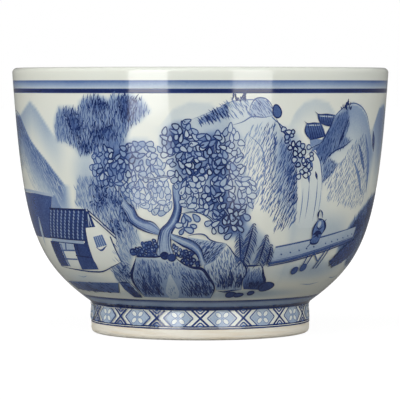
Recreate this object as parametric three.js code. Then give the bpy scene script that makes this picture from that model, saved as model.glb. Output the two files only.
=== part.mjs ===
import * as THREE from 'three';

// A footed porcelain teacup with underglaze cobalt painting, in millimetres, +Z up. The origin is the
// centre of the plane that the foot stands on. Every piece is turned about Z: the biscuit bowl, the foot
// ring luted to it, the slip in that joint, the bands of cobalt on the biscuit, and the coats of glaze.

// ---- Driving sizes ----
const HEIGHT = 59.6;             // table to the crown of the lip
const MOUTH_RADIUS = 42.45;      // outside of the lip
const LIP_THICKNESS = 2.3;       // glazed wall just under the lip
const LIP_ROUND = 1.1;           // height of the rounded part of the lip
const RIM_LEAN = 4;              // degrees that the wall leans out where it meets the lip
const RIM_PULL = 33.5;           // how far down the upright part of the wall carries
const SPRING_ANGLE = 35.9;       // degrees above level at which the wall leaves the foot joint
const SPRING_PULL = 15.6;        // how far out the flare above the foot carries
const WALL_AT_FOOT = 3.2;        // glazed wall just above the foot joint
const FLOOR_THICKNESS = 3.4;     // glazed floor in the middle
const BASE_DROP = 1;             // how far the underside bulges down inside the foot
const BASE_RADIUS = 12;          // flat of that bulge
const WELL_RADIUS = 14;          // flat of the floor inside
const INNER_RIM_PULL = 30;       // as RIM_PULL and SPRING_PULL, for the inside of the wall
const INNER_SPRING_PULL = 14.5;

const FOOT_RADIUS = 24.75;       // outside of the foot at its widest
const FOOT_HEIGHT = 6.2;         // table to the neck of the foot joint
const NECK_INSET = 0.22;         // how far the neck lies inside the widest part of the foot
const FOOT_WALL = 3.2;           // glazed foot ring, outside to inside
const FOOT_DRAFT = 0.4;          // how much narrower the recess is at the top
const REST_WIDTH = 1.5;          // flat of the foot that stands on the table
const BARE_EDGE = 2.44;          // height of the unglazed edge of the foot, outside
const BARE_INSIDE = 1.4;         // and inside the recess
const FOOT_BEVEL = 0.8;          // height of the bevel at the foot of the ring, outside
const FOOT_BEVEL_INSIDE = 0.6;   // and inside the recess
const COVE_HEIGHT = 1.2;         // neck to where the wall springs
const COVE_FLARE = 0.87;         // how much wider the wall is there than the neck
const SLIP_THICKNESS = 0.3;      // bed of slip between foot ring and bowl

const GLAZE = 0.3;               // each coat of glaze
const COBALT = 0.1;              // each band of cobalt, under the glaze

// Cobalt on the wall, measured down from the crown of the lip.
const RIM_BAND = { drop: 2.87, width: 1.7 };
const RIM_LINE = { drop: 4.68, width: 0.75 };
const FRIEZE_DROP = 5.9;
// Cobalt round the foot joint, measured up from the neck, and on the foot, measured up from the bare edge.
const JOINT_LINE = { rise: 0.48, width: 0.45 };
const JOINT_WASH = { rise: 1.6, width: 0.8 };
const FRIEZE_RISE = 2.8;
const FOOT_LINE = { rise: 0.1, width: 0.35 };
const LATTICE_GAP = 0.2;         // clear ground between the foot line and the lattice
const LATTICE_TOP_GAP = 0.18;    // and between the lattice and the joint line

// ---- Facets ----
const SEGMENTS = 36;             // facets round every piece
const WALL_STEPS = 7;            // steps up the painted part of the wall
const STEP_GROWTH = 1.6;         // above 1, those steps lie closer together low down, where the wall curves most
const INSIDE_STEPS = [0.02, 0.1, 0.22, 0.38, 0.56, 0.78]; // corners up the inside, as shares of its height
const LIP_STEPS = 3;             // steps round each half of the lip
const HALVINGS = 40;             // of a curve, to find the point on it at a height
const DEGREE = Math.PI / 180;    // in radians

// ---- Sizes that follow from them ----
const neckRadius = FOOT_RADIUS - NECK_INSET;
const springHeight = FOOT_HEIGHT + COVE_HEIGHT;
const springRadius = neckRadius + COVE_FLARE;
const lipBase = HEIGHT - LIP_ROUND;
const lipCentre = MOUTH_RADIUS - LIP_THICKNESS / 2;
const footTop = FOOT_HEIGHT - SLIP_THICKNESS;            // biscuit top of the foot ring
const baseHeight = FOOT_HEIGHT - BASE_DROP;              // lowest biscuit of the bowl
const floorHeight = baseHeight - GLAZE + FLOOR_THICKNESS; // glazed floor inside
const restMiddle = FOOT_RADIUS - FOOT_WALL / 2;
const footInnerAt = (height) => FOOT_RADIUS - FOOT_WALL - (FOOT_DRAFT * height) / footTop + GLAZE;
const footInnerTop = footInnerAt(footTop);

// ---- The two surfaces that everything follows ----

/** A curve from one point to another that leaves and arrives at the given angles above level. */
function flare(from, leave, pullFrom, to, arrive, pullTo) {
  const a = from.clone().add(new THREE.Vector2(Math.cos(leave), Math.sin(leave)).multiplyScalar(pullFrom));
  const b = to.clone().sub(new THREE.Vector2(Math.cos(arrive), Math.sin(arrive)).multiplyScalar(pullTo));
  return new THREE.CubicBezierCurve(from, a, b, to);
}

/** The glazed outside of the cup, from the edge of the glaze on the foot up to the base of the lip. */
function outsideCurves() {
  const widest = new THREE.Vector2(FOOT_RADIUS, BARE_EDGE);
  const neck = new THREE.Vector2(neckRadius, FOOT_HEIGHT);
  const spring = new THREE.Vector2(springRadius, springHeight);
  const leave = SPRING_ANGLE * DEGREE;
  const corner = new THREE.Vector2(neckRadius, springHeight - COVE_FLARE * Math.tan(leave));
  const mouth = new THREE.Vector2(MOUTH_RADIUS, lipBase);
  return [
    new THREE.LineCurve(widest, neck),
    new THREE.QuadraticBezierCurve(neck, corner, spring),
    flare(spring, leave, SPRING_PULL, mouth, (90 - RIM_LEAN) * DEGREE, RIM_PULL),
  ];
}

/** The glazed inside of the cup, from the edge of the flat of the floor up to the base of the lip. */
function insideCurves() {
  const leave = SPRING_ANGLE * DEGREE;
  const wellEdge = new THREE.Vector2(WELL_RADIUS, floorHeight);
  const start = new THREE.Vector2(springRadius - WALL_AT_FOOT * Math.sin(leave),
    springHeight + WALL_AT_FOOT * Math.cos(leave));
  const corner = new THREE.Vector2(start.x - (start.y - floorHeight) / Math.tan(leave), floorHeight);
  const mouth = new THREE.Vector2(MOUTH_RADIUS - LIP_THICKNESS, lipBase);
  return [
    new THREE.QuadraticBezierCurve(wellEdge, corner, start),
    flare(start, leave, INNER_SPRING_PULL, mouth, (90 - RIM_LEAN) * DEGREE, INNER_RIM_PULL),
  ];
}

/** The point of a rising surface at a height, moved a depth into the wall (side -1 or +1 gives which way). */
function pointAtHeight(curves, height, depth, side) {
  const curve = curves.find((c) => height <= c.getPoint(1).y) ?? curves.at(-1);
  let low = 0;
  let high = 1;
  for (let halving = 0; halving < HALVINGS; halving += 1) {
    const middle = (low + high) / 2;
    if (curve.getPoint(middle).y < height) low = middle;
    else high = middle;
  }
  const at = (low + high) / 2;
  const tangent = curve.getTangent(at);
  const intoWall = new THREE.Vector2(tangent.y, -tangent.x).multiplyScalar(side * depth);
  return curve.getPoint(at).add(intoWall);
}

const outside = outsideCurves();
const inside = insideCurves();
const outsideAt = (height, depth = 0) => pointAtHeight(outside, height, depth, -1);
const insideAt = (height, depth = 0) => pointAtHeight(inside, height, depth, 1);

/** A point on the lip: 0 degrees is its outer base, 90 its crown and 180 its inner base. */
function lipAt(degrees, depth = 0) {
  const turn = degrees * DEGREE;
  return new THREE.Vector2(lipCentre + (LIP_THICKNESS / 2 - depth) * Math.cos(turn),
    lipBase + (LIP_ROUND - depth) * Math.sin(turn));
}

// ---- Heights where cobalt starts and stops ----
const latticeBase = BARE_EDGE + FOOT_LINE.rise + FOOT_LINE.width + LATTICE_GAP;
const bands = {
  foot_line: [BARE_EDGE + FOOT_LINE.rise, BARE_EDGE + FOOT_LINE.rise + FOOT_LINE.width],
  foot_lattice: [latticeBase, FOOT_HEIGHT + JOINT_LINE.rise - LATTICE_TOP_GAP],
  joint_line: [FOOT_HEIGHT + JOINT_LINE.rise, FOOT_HEIGHT + JOINT_LINE.rise + JOINT_LINE.width],
  joint_wash: [FOOT_HEIGHT + JOINT_WASH.rise, FOOT_HEIGHT + JOINT_WASH.rise + JOINT_WASH.width],
  landscape_frieze: [FOOT_HEIGHT + FRIEZE_RISE, HEIGHT - FRIEZE_DROP],
  rim_line: [HEIGHT - RIM_LINE.drop - RIM_LINE.width, HEIGHT - RIM_LINE.drop],
  rim_band: [HEIGHT - RIM_BAND.drop - RIM_BAND.width, HEIGHT - RIM_BAND.drop],
};

/** Every height at which an outside piece has a corner, lowest first, so that touching faces match. */
function outsideHeights() {
  const [low, high] = bands.landscape_frieze;
  const steps = Array.from({ length: WALL_STEPS - 1 }, (_, i) => {
    const share = (i + 1) / WALL_STEPS;
    return low + (high - low) * share ** STEP_GROWTH;
  });
  return [BARE_EDGE, footTop, FOOT_HEIGHT, ...Object.values(bands).flat(), ...steps, lipBase]
    .sort((a, b) => a - b);
}

const heights = outsideHeights();
const heightsFrom = (low, high) => heights.filter((h) => h >= low && h <= high);
const insideHeights = INSIDE_STEPS.map((share) => floorHeight + (lipBase - floorHeight) * share);
const outerLip = Array.from({ length: LIP_STEPS }, (_, i) => (90 * (i + 1)) / LIP_STEPS);
const innerLip = outerLip.map((degrees) => 90 + degrees);

// ---- Turning ----

/** Turns a closed outline about Z. The outline runs anticlockwise as seen with Z up and radius to the right. */
function turned(name, outline, colour, roughness) {
  const closed = outline[0].x === 0 ? outline : [...outline, outline[0]];
  const geometry = new THREE.LatheGeometry(closed, SEGMENTS);
  geometry.rotateX(Math.PI / 2);
  const material = new THREE.MeshStandardMaterial({ color: colour, roughness, metalness: 0 });
  const mesh = new THREE.Mesh(geometry, material);
  mesh.name = name;
  return mesh;
}

const at = (radius, height) => new THREE.Vector2(radius, height);

// ---- Clay ----

/** The biscuit bowl: floor, wall and lip, bulging a little inside the foot ring. */
function bowlBody() {
  return turned('bowl_body', [
    at(0, baseHeight),
    at(BASE_RADIUS, baseHeight),
    at(footInnerTop, FOOT_HEIGHT),
    ...heightsFrom(FOOT_HEIGHT, lipBase).map((h) => outsideAt(h, GLAZE)),
    ...outerLip.map((d) => lipAt(d, GLAZE)),
    ...innerLip.slice(0, -1).map((d) => lipAt(d, GLAZE)),
    insideAt(lipBase, GLAZE),
    ...insideHeights.toReversed().map((h) => insideAt(h, GLAZE)),
    at(WELL_RADIUS, floorHeight - GLAZE),
    at(0, floorHeight - GLAZE),
  ], 0xe9e7df, 0.8);
}

/** The foot ring: a short biscuit collar with a rounded bare edge to stand on. */
function footRing() {
  return turned('foot_ring', [
    at(restMiddle - REST_WIDTH / 2, 0),
    at(restMiddle + REST_WIDTH / 2, 0),
    at(FOOT_RADIUS - GLAZE, FOOT_BEVEL),
    ...heightsFrom(BARE_EDGE, footTop).map((h) => outsideAt(h, GLAZE)),
    at(footInnerTop, footTop),
    at(footInnerAt(BARE_INSIDE), BARE_INSIDE),
    at(footInnerAt(0), FOOT_BEVEL_INSIDE),
  ], 0xddd8c8, 0.75);
}

/** The bed of slip that lutes the foot ring to the bowl. */
function lutingSlip() {
  return turned('luting_slip', [
    at(footInnerTop, footTop),
    ...heightsFrom(footTop, FOOT_HEIGHT).map((h) => outsideAt(h, GLAZE)),
    at(footInnerTop, FOOT_HEIGHT),
  ], 0xdcdad0, 0.85);
}

// ---- Cobalt ----

/** One band of cobalt on the biscuit, under the glaze. */
function cobaltBand(name, colour) {
  const [low, high] = bands[name];
  const rows = heightsFrom(low, high);
  return turned(name, [
    ...rows.map((h) => outsideAt(h, GLAZE - COBALT)),
    ...rows.toReversed().map((h) => outsideAt(h, GLAZE)),
  ], colour, 0.9);
}

/** The under face of the outer glaze from the lip down, stepped out over each band of cobalt. */
function glazeUnderside() {
  const face = [];
  const edges = Object.values(bands);
  for (const height of heightsFrom(BARE_EDGE, lipBase).toReversed()) {
    const band = edges.find(([low, high]) => height >= low && height <= high);
    if (!band) face.push(outsideAt(height, GLAZE));
    else if (height === band[1]) face.push(outsideAt(height, GLAZE), outsideAt(height, GLAZE - COBALT));
    else if (height === band[0]) face.push(outsideAt(height, GLAZE - COBALT), outsideAt(height, GLAZE));
    else face.push(outsideAt(height, GLAZE - COBALT));
  }
  return face;
}

// ---- Glaze ----

/** The outer coat, from the bare edge of the foot to the crown of the lip. */
function outerGlaze() {
  return turned('outer_glaze', [
    ...heightsFrom(BARE_EDGE, lipBase).map((h) => outsideAt(h)),
    ...outerLip.map((d) => lipAt(d)),
    ...outerLip.toReversed().map((d) => lipAt(d, GLAZE)),
    ...glazeUnderside(),
  ], 0xd9dfd6, 0.08);
}

/** The inner coat, from the crown of the lip over the inside of the wall and the floor. */
function innerGlaze() {
  return turned('inner_glaze', [
    at(0, floorHeight - GLAZE),
    at(WELL_RADIUS, floorHeight - GLAZE),
    ...insideHeights.map((h) => insideAt(h, GLAZE)),
    insideAt(lipBase, GLAZE),
    ...innerLip.slice(0, -1).toReversed().map((d) => lipAt(d, GLAZE)),
    lipAt(90, GLAZE),
    lipAt(90),
    ...innerLip.slice(0, -1).map((d) => lipAt(d)),
    insideAt(lipBase),
    ...insideHeights.toReversed().map((h) => insideAt(h)),
    at(WELL_RADIUS, floorHeight),
    at(0, floorHeight),
  ], 0xdde2da, 0.08);
}

/** The coat in the recess under the cup, over its ceiling and down the inside of the foot ring. */
function baseGlaze() {
  return turned('base_glaze', [
    at(0, baseHeight - GLAZE),
    at(BASE_RADIUS, baseHeight - GLAZE),
    at(footInnerTop - GLAZE, FOOT_HEIGHT - GLAZE),
    at(footInnerAt(BARE_INSIDE) - GLAZE, BARE_INSIDE),
    at(footInnerAt(BARE_INSIDE), BARE_INSIDE),
    at(footInnerTop, footTop),
    at(footInnerTop, FOOT_HEIGHT),
    at(BASE_RADIUS, baseHeight),
    at(0, baseHeight),
  ], 0xd9dfd6, 0.1);
}

// ---- The cup ----
const cup = new THREE.Group();
cup.add(
  bowlBody(),
  footRing(),
  lutingSlip(),
  cobaltBand('foot_line', 0x24386e),
  cobaltBand('foot_lattice', 0x6f8bb0),
  cobaltBand('joint_line', 0x22346a),
  cobaltBand('joint_wash', 0x7f98b8),
  cobaltBand('landscape_frieze', 0x7d94bb),
  cobaltBand('rim_line', 0x1e2f63),
  cobaltBand('rim_band', 0x44548f),
  outerGlaze(),
  innerGlaze(),
  baseGlaze(),
);

export default cup;
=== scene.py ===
"""Looks for a footed porcelain teacup, painted in cobalt under a clear glaze."""

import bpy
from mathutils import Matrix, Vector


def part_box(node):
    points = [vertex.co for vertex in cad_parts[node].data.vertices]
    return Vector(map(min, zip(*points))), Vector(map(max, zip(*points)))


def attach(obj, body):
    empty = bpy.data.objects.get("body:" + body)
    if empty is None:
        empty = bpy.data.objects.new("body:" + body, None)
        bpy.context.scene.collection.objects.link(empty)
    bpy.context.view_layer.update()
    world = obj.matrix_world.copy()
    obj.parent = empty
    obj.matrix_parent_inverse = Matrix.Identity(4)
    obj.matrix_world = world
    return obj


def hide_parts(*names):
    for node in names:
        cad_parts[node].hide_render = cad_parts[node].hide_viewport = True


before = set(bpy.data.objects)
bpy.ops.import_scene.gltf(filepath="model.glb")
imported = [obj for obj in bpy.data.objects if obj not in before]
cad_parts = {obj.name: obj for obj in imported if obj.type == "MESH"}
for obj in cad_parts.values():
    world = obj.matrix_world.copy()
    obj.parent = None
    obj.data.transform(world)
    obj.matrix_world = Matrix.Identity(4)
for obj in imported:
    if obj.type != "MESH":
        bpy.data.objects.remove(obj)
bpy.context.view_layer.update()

import logging
import math
import random
from collections.abc import Callable, Iterable, Sequence
from dataclasses import dataclass, field
from enum import Enum

import bmesh
import bpy
import numpy as np
from bpy.types import Material, Mesh, Node, NodeSocket, NodeTree, Object
from mathutils import Vector

LOG = logging.getLogger("teacup")
MM = 0.001
AXIS = 1e-6
"""Radius in mm below which a point of an outline lies on the cup's axis."""
SHARP = math.radians(42)
"""Faces that meet more sharply than this keep a hard edge between them."""

Place = tuple[float, float]
"""A place on the wall: azimuth in degrees (0 faces -Y, 90 faces +X) and height in mm."""
Outline = Sequence[Place]
"""Places in order: an outline's corners, or what a line passes through."""
Mark = tuple[Outline, float, float]
"""A stroke: the places that it passes through, its width in mm and how much pigment it holds."""


# ---- Sizes taken from the frame ----


def low_high(node: str) -> tuple[Vector, Vector]:
    """The lowest and highest corner of a CAD node, in mm."""
    low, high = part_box(node)
    return low / MM, high / MM


@dataclass(frozen=True)
class CupSizes:
    """Every size of the cup that the looks need, in millimetres."""

    glaze: float = 0.3
    lip_thickness: float = 2.3
    lip_round: float = 1.1
    wall_at_foot: float = 3.2
    rim_lean: float = 4.0
    rim_pull: float = 33.5
    inner_rim_pull: float = 30.0
    spring_angle: float = 35.9
    spring_pull: float = 15.6
    inner_spring_pull: float = 14.5
    cove_height: float = 1.2
    cove_flare: float = 0.87
    well_radius: float = 14.0
    base_radius: float = 12.0
    rest_width: float = 1.5
    height: float = low_high("outer_glaze")[1].z
    mouth_radius: float = low_high("outer_glaze")[1].x
    bare_edge: float = low_high("outer_glaze")[0].z
    bare_inside: float = low_high("base_glaze")[0].z
    neck_height: float = low_high("luting_slip")[1].z
    slip_bottom: float = low_high("luting_slip")[0].z
    foot_biscuit: float = low_high("foot_ring")[1].x
    neck_biscuit: float = low_high("luting_slip")[1].x
    recess_biscuit: float = low_high("base_glaze")[1].x
    base_height: float = low_high("bowl_body")[0].z
    floor_biscuit: float = low_high("inner_glaze")[0].z

    @property
    def lip_base(self) -> float:
        """Height where the rounded lip starts."""
        return self.height - self.lip_round

    @property
    def foot_radius(self) -> float:
        """Glazed foot at its widest."""
        return self.foot_biscuit + self.glaze


# ---- Outlines to turn ----


def bezier(points: Outline, steps: int) -> np.ndarray:
    """A Bezier curve of any degree.

    Args:
        points: Control points as (radius, height).
        steps: Number of spans.

    Returns:
        Points along the curve, one row each.
    """
    share = np.linspace(0, 1, steps + 1)[:, None]
    layer = [np.array(p, float)[None, :] + 0 * share for p in points]
    while len(layer) > 1:
        layer = [a * (1 - share) + b * share for a, b in zip(layer, layer[1:])]
    return layer[0]


def offset(line: np.ndarray, depth: float) -> np.ndarray:
    """A line moved sideways by a depth, to the left of its direction."""
    run = np.gradient(line, axis=0)
    left = np.stack([-run[:, 1], run[:, 0]], 1)
    return line + depth * left / np.linalg.norm(left, axis=1)[:, None]


def flare(start: Place, leave: float, pull: float, end: Place, arrive: float, pull_end: float,
          steps: int) -> np.ndarray:
    """A curve that leaves and arrives at given angles above level.

    Args:
        start: First point.
        leave: Angle at the start, in degrees.
        pull: How far the start's direction carries.
        end: Last point.
        arrive: Angle at the end, in degrees.
        pull_end: How far the end's direction carries.
        steps: Number of spans.

    Returns:
        Points along the curve.
    """
    a, b = math.radians(leave), math.radians(arrive)
    first = (start[0] + pull * math.cos(a), start[1] + pull * math.sin(a))
    second = (end[0] - pull_end * math.cos(b), end[1] - pull_end * math.sin(b))
    return bezier([start, first, second, end], steps)


@dataclass(frozen=True)
class Profile:
    """The cup's section: the glazed outside and inside, and the lines a coat of glaze deep under them."""

    sizes: CupSizes

    def foot_side(self, steps: int = 8) -> np.ndarray:
        """Glazed foot from the edge of the glaze up to the neck, as (radius, height)."""
        s = self.sizes
        return bezier([(s.foot_radius, s.bare_edge), (self.neck_radius, s.neck_height)], steps)

    @property
    def neck_radius(self) -> float:
        """Glazed radius at the neck of the foot joint."""
        s = self.sizes
        rise = (s.slip_bottom - s.bare_edge) / (s.neck_height - s.bare_edge)
        return s.foot_radius - (s.foot_biscuit - s.neck_biscuit) / rise

    @property
    def spring(self) -> Place:
        """The point where the wall springs from the cove above the foot."""
        s = self.sizes
        return self.neck_radius + s.cove_flare, s.neck_height + s.cove_height

    def outside(self, steps: int = 120) -> np.ndarray:
        """Glazed outside from the edge of the glaze on the foot to the base of the lip.

        Args:
            steps: Number of spans in the wall.

        Returns:
            Points as (radius, height).
        """
        s = self.sizes
        spring = self.spring
        corner = (self.neck_radius, spring[1] - s.cove_flare * math.tan(math.radians(s.spring_angle)))
        cove = bezier([(self.neck_radius, s.neck_height), corner, spring], 6)
        wall = flare(spring, s.spring_angle, s.spring_pull, (s.mouth_radius, s.lip_base), 90 - s.rim_lean,
            s.rim_pull, steps)
        return np.concatenate([self.foot_side()[:-1], cove[:-1], wall])

    def inside(self, steps: int = 48) -> np.ndarray:
        """Glazed inside from the edge of the flat of the floor to the base of the lip.

        Args:
            steps: Number of spans in the wall.

        Returns:
            Points as (radius, height).
        """
        s = self.sizes
        leave = math.radians(s.spring_angle)
        floor = s.floor_biscuit + s.glaze
        start = (self.spring[0] - s.wall_at_foot * math.sin(leave),
                 self.spring[1] + s.wall_at_foot * math.cos(leave))
        corner = (start[0] - (start[1] - floor) / math.tan(leave), floor)
        well = bezier([(s.well_radius, floor), corner, start], 12)
        wall = flare(start, s.spring_angle, s.inner_spring_pull, (s.mouth_radius - s.lip_thickness,
            s.lip_base), 90 - s.rim_lean, s.inner_rim_pull, steps)
        return np.concatenate([well[:-1], wall])

    def lip(self, start: float, end: float, depth: float = 0.0, steps: int = 9) -> np.ndarray:
        """Part of the rounded lip.

        Args:
            start: Angle round the lip where it starts: 0 is its outer base, 90 its crown, 180 its inner base.
            end: Angle where it ends.
            depth: How far under the glazed face.
            steps: Number of spans.

        Returns:
            Points as (radius, height).
        """
        s = self.sizes
        turn = np.radians(np.linspace(start, end, steps + 1))
        centre = s.mouth_radius - s.lip_thickness / 2
        return np.stack([centre + (s.lip_thickness / 2 - depth) * np.cos(turn),
            s.lip_base + (s.lip_round - depth) * np.sin(turn)], 1)

    def foot_inner(self, height: float) -> float:
        """Biscuit radius of the recess at a height."""
        s = self.sizes
        return s.recess_biscuit - 0.07 * (height - s.bare_inside)


@dataclass(frozen=True)
class Wall:
    """Places on the glazed outside, worked out from its section."""

    line: np.ndarray

    def radius(self, height: np.ndarray | float) -> np.ndarray:
        """Radius of the wall at one height or many."""
        return np.interp(height, self.line[:, 1], self.line[:, 0])

    def degree(self, height: float) -> float:
        """Length of one degree round the wall at a height, in mm."""
        return float(self.radius(height)) * math.pi / 180

    def normals(self, height: np.ndarray) -> tuple[np.ndarray, np.ndarray]:
        """Direction out of the wall.

        Args:
            height: Heights in mm.

        Returns:
            The outward and the upward part of the unit normal.
        """
        step = 0.25
        run = self.radius(height + step) - self.radius(height - step)
        length = np.hypot(run, 2 * step)
        return 2 * step / length, -run / length

    def points(self, azimuth: np.ndarray, height: np.ndarray, lift: float) -> tuple[np.ndarray, np.ndarray]:
        """Places on the wall as points in the frame.

        Args:
            azimuth: Degrees round the cup.
            height: Heights in mm.
            lift: How far proud of the glaze, in mm.

        Returns:
            Points in metres and their unit normals.
        """
        turn = np.radians(azimuth)
        out, up = self.normals(height)
        radius = self.radius(height) + out * lift
        across = np.stack([np.sin(turn), -np.cos(turn)], 1)
        points = np.column_stack([across * radius[:, None], height + up * lift]) * MM
        return points, np.column_stack([across * out[:, None], up])


# ---- Materials ----


class Graph:
    """A node tree with short ways to add and join nodes."""

    def __init__(self, tree: NodeTree) -> None:
        """Wraps a tree."""
        self.tree = tree

    def add(self, kind: str, inputs: dict[str | int, object] | None = None, **settings: object) -> Node:
        """Adds a node.

        Args:
            kind: The node's type name, without ShaderNode.
            inputs: Input name or number to a value, or to another node's output to join.
            settings: Properties of the node.

        Returns:
            The new node.
        """
        node = self.tree.nodes.new(f"ShaderNode{kind}")
        for name, value in settings.items():
            setattr(node, name, value)
        for name, value in (inputs or {}).items():
            if isinstance(value, NodeSocket):
                self.tree.links.new(value, node.inputs[name])
            else:
                node.inputs[name].default_value = value
        return node

    def maths(self, operation: str, a: object, b: object = 0.0) -> NodeSocket:
        """The result of one Math node."""
        return self.add("Math", {0: a, 1: b}, operation=operation).outputs[0]

    def noise(self, scale: float, detail: float = 2.0, where: NodeSocket | None = None
              ) -> NodeSocket:
        """A noise over the surface, with so many features to the metre and so many finer layers."""
        where = where or self.add("TexCoord").outputs["Object"]
        return self.add("TexNoise", {"Vector": where, "Scale": scale, "Detail": detail}).outputs["Fac"]

    def ramp(self, value: NodeSocket, stops: Sequence[tuple[float, tuple[float, float, float]]]
             ) -> NodeSocket:
        """A colour ramp.

        Args:
            value: What picks the colour.
            stops: Position and linear colour of each stop, lowest first.

        Returns:
            The colour.
        """
        node = self.add("ValToRGB", {0: value})
        ramp = node.color_ramp
        for index, (position, colour) in enumerate(stops):
            stop = ramp.elements[index] if index < 2 else ramp.elements.new(position)
            stop.position = position
            stop.color = (*colour, 1.0)
        return node.outputs["Color"]


def new_group(name: str, inputs: dict[str, float], outputs: dict[str, str]) -> tuple[Graph, dict, dict]:
    """Starts a node group with named sockets.

    Args:
        name: The group's name.
        inputs: Number inputs and their usual values.
        outputs: Output name to socket type.

    Returns:
        The graph, its inputs by name and the inputs of its output node.
    """
    tree = bpy.data.node_groups.new(name, "ShaderNodeTree")
    for label, value in inputs.items():
        socket = tree.interface.new_socket(label, in_out="INPUT", socket_type="NodeSocketFloat")
        socket.default_value = value
    for label, kind in outputs.items():
        tree.interface.new_socket(label, in_out="OUTPUT", socket_type=kind)
    start = tree.nodes.new("NodeGroupInput")
    end = tree.nodes.new("NodeGroupOutput")
    return Graph(tree), start.outputs, end.inputs


class Effects:
    """The node groups that several materials share, each built once."""

    GROUND = (0.725, 0.75, 0.69)
    TONES = (
        (0.0, GROUND),
        (0.14, (0.50, 0.575, 0.615)),
        (0.32, (0.245, 0.335, 0.49)),
        (0.52, (0.085, 0.15, 0.335)),
        (0.74, (0.024, 0.055, 0.195)),
        (1.0, (0.005, 0.014, 0.080)),
    )

    def __init__(self) -> None:
        """Builds the groups."""
        self.cobalt = self._cobalt()
        self.ripple = self._ripple()
        self.speck = self._speck()

    def _cobalt(self) -> NodeTree:
        """Cobalt on porcelain: its colour from how much pigment there is, with the unevenness of a wash."""
        graph, start, end = new_group("cobalt_tone", {"Pigment": 0.5, "Mottle": 0.15},
            {"Color": "NodeSocketColor"})
        fine = graph.noise(2600, 3)
        broad = graph.noise(260, 2)
        both = graph.maths("ADD", graph.maths("MULTIPLY", fine, 0.7), graph.maths("MULTIPLY", broad, 0.3))
        swing = graph.maths("MULTIPLY", graph.maths("SUBTRACT", both, 0.5), start["Mottle"])
        share = graph.maths("ADD", graph.maths("MULTIPLY", swing, 4.0), 1.0)
        load = graph.maths("MULTIPLY", start["Pigment"], share)
        graph.tree.links.new(graph.ramp(load, self.TONES), end["Color"])
        return graph.tree

    def _ripple(self) -> NodeTree:
        """The faint ripple of a glaze that has run and settled, as a height from 0 to 1."""
        graph, start, end = new_group("glaze_ripple", {"Broad": 0.7}, {"Height": "NodeSocketFloat"})
        broad = graph.noise(95, 1)
        fine = graph.noise(420, 1)
        height = graph.add("Mix", {"Factor": start["Broad"], 2: fine, 3: broad}, data_type="FLOAT")
        graph.tree.links.new(height.outputs[0], end["Height"])
        return graph.tree

    def _speck(self) -> NodeTree:
        """Tiny iron specks and pinholes: a mask that is 1 in a speck."""
        graph, start, end = new_group("firing_speck", {"Rarity": 0.985}, {"Mask": "NodeSocketFloat"})
        where = graph.add("TexCoord").outputs["Object"]
        cells = graph.add("TexVoronoi", {"Vector": where, "Scale": 420.0})
        near = graph.maths("LESS_THAN", cells.outputs["Distance"], 0.075)
        chosen = graph.maths("GREATER_THAN", graph.noise(900, 0), start["Rarity"])
        graph.tree.links.new(graph.maths("MULTIPLY", near, chosen), end["Mask"])
        return graph.tree


@dataclass(frozen=True)
class Finish:
    """A fired surface: how its colour is made and how it shines."""

    name: str
    roughness: float = 0.07
    ripple: float = 0.012

    def start(self) -> tuple[Material, Graph, Node]:
        """An empty material with its shader.

        Returns:
            The material, its graph and its Principled BSDF.
        """
        material = bpy.data.materials.new(self.name)
        material.use_nodes = True
        material.node_tree.nodes.clear()
        graph = Graph(material.node_tree)
        shader = graph.add("BsdfPrincipled", {"Roughness": self.roughness, "IOR": 1.62})
        graph.add("OutputMaterial", {"Surface": shader.outputs[0]})
        return material, graph, shader

    def gloss(self, graph: Graph, shader: Node, effects: Effects) -> None:
        """Joins the glaze's ripple and the slight unevenness of its shine to a shader.

        Args:
            graph: The material's graph.
            shader: Its Principled BSDF.
            effects: The shared groups.
        """
        height = graph.add("Group", node_tree=effects.ripple).outputs["Height"]
        bump = graph.add("Bump", {"Height": height, "Strength": 1.0, "Distance": self.ripple * MM})
        graph.tree.links.new(bump.outputs["Normal"], shader.inputs["Normal"])
        haze = graph.maths("ADD", graph.maths("MULTIPLY", graph.noise(300, 2), 0.05), self.roughness - 0.02)
        graph.tree.links.new(haze, shader.inputs["Roughness"])


@dataclass(frozen=True)
class GlazeFinish(Finish):
    """Clear glaze over white porcelain, with any washes that the piece's own pigment attribute holds."""

    washed: bool = False
    warmth: tuple[float, float, float] = (1.0, 0.985, 0.955)

    def build(self, effects: Effects) -> Material:
        """Makes the material.

        Args:
            effects: The shared groups.

        Returns:
            The finished material.
        """
        material, graph, shader = self.start()
        cobalt = graph.add("Group", {"Mottle": 0.13}, node_tree=effects.cobalt)
        if self.washed:
            wash = graph.add("Attribute", attribute_name="pigment", attribute_type="GEOMETRY")
            graph.tree.links.new(wash.outputs["Fac"], cobalt.inputs["Pigment"])
        else:
            cobalt.inputs["Pigment"].default_value = 0.0
        tint = graph.ramp(graph.noise(45, 2), ((0.3, (1.0, 1.0, 1.0)), (0.7, self.warmth)))
        tinted = graph.add("Mix", {"Factor": 1.0}, data_type="RGBA", blend_type="MULTIPLY")
        graph.tree.links.new(cobalt.outputs["Color"], tinted.inputs[6])
        graph.tree.links.new(tint, tinted.inputs[7])
        speck = graph.add("Group", node_tree=effects.speck).outputs["Mask"]
        spotted = graph.add("Mix", {"Factor": speck, 7: (0.36, 0.30, 0.24, 1.0)}, data_type="RGBA")
        graph.tree.links.new(tinted.outputs[2], spotted.inputs[6])
        graph.tree.links.new(spotted.outputs[2], shader.inputs["Base Color"])
        self.gloss(graph, shader, effects)
        return material


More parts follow.
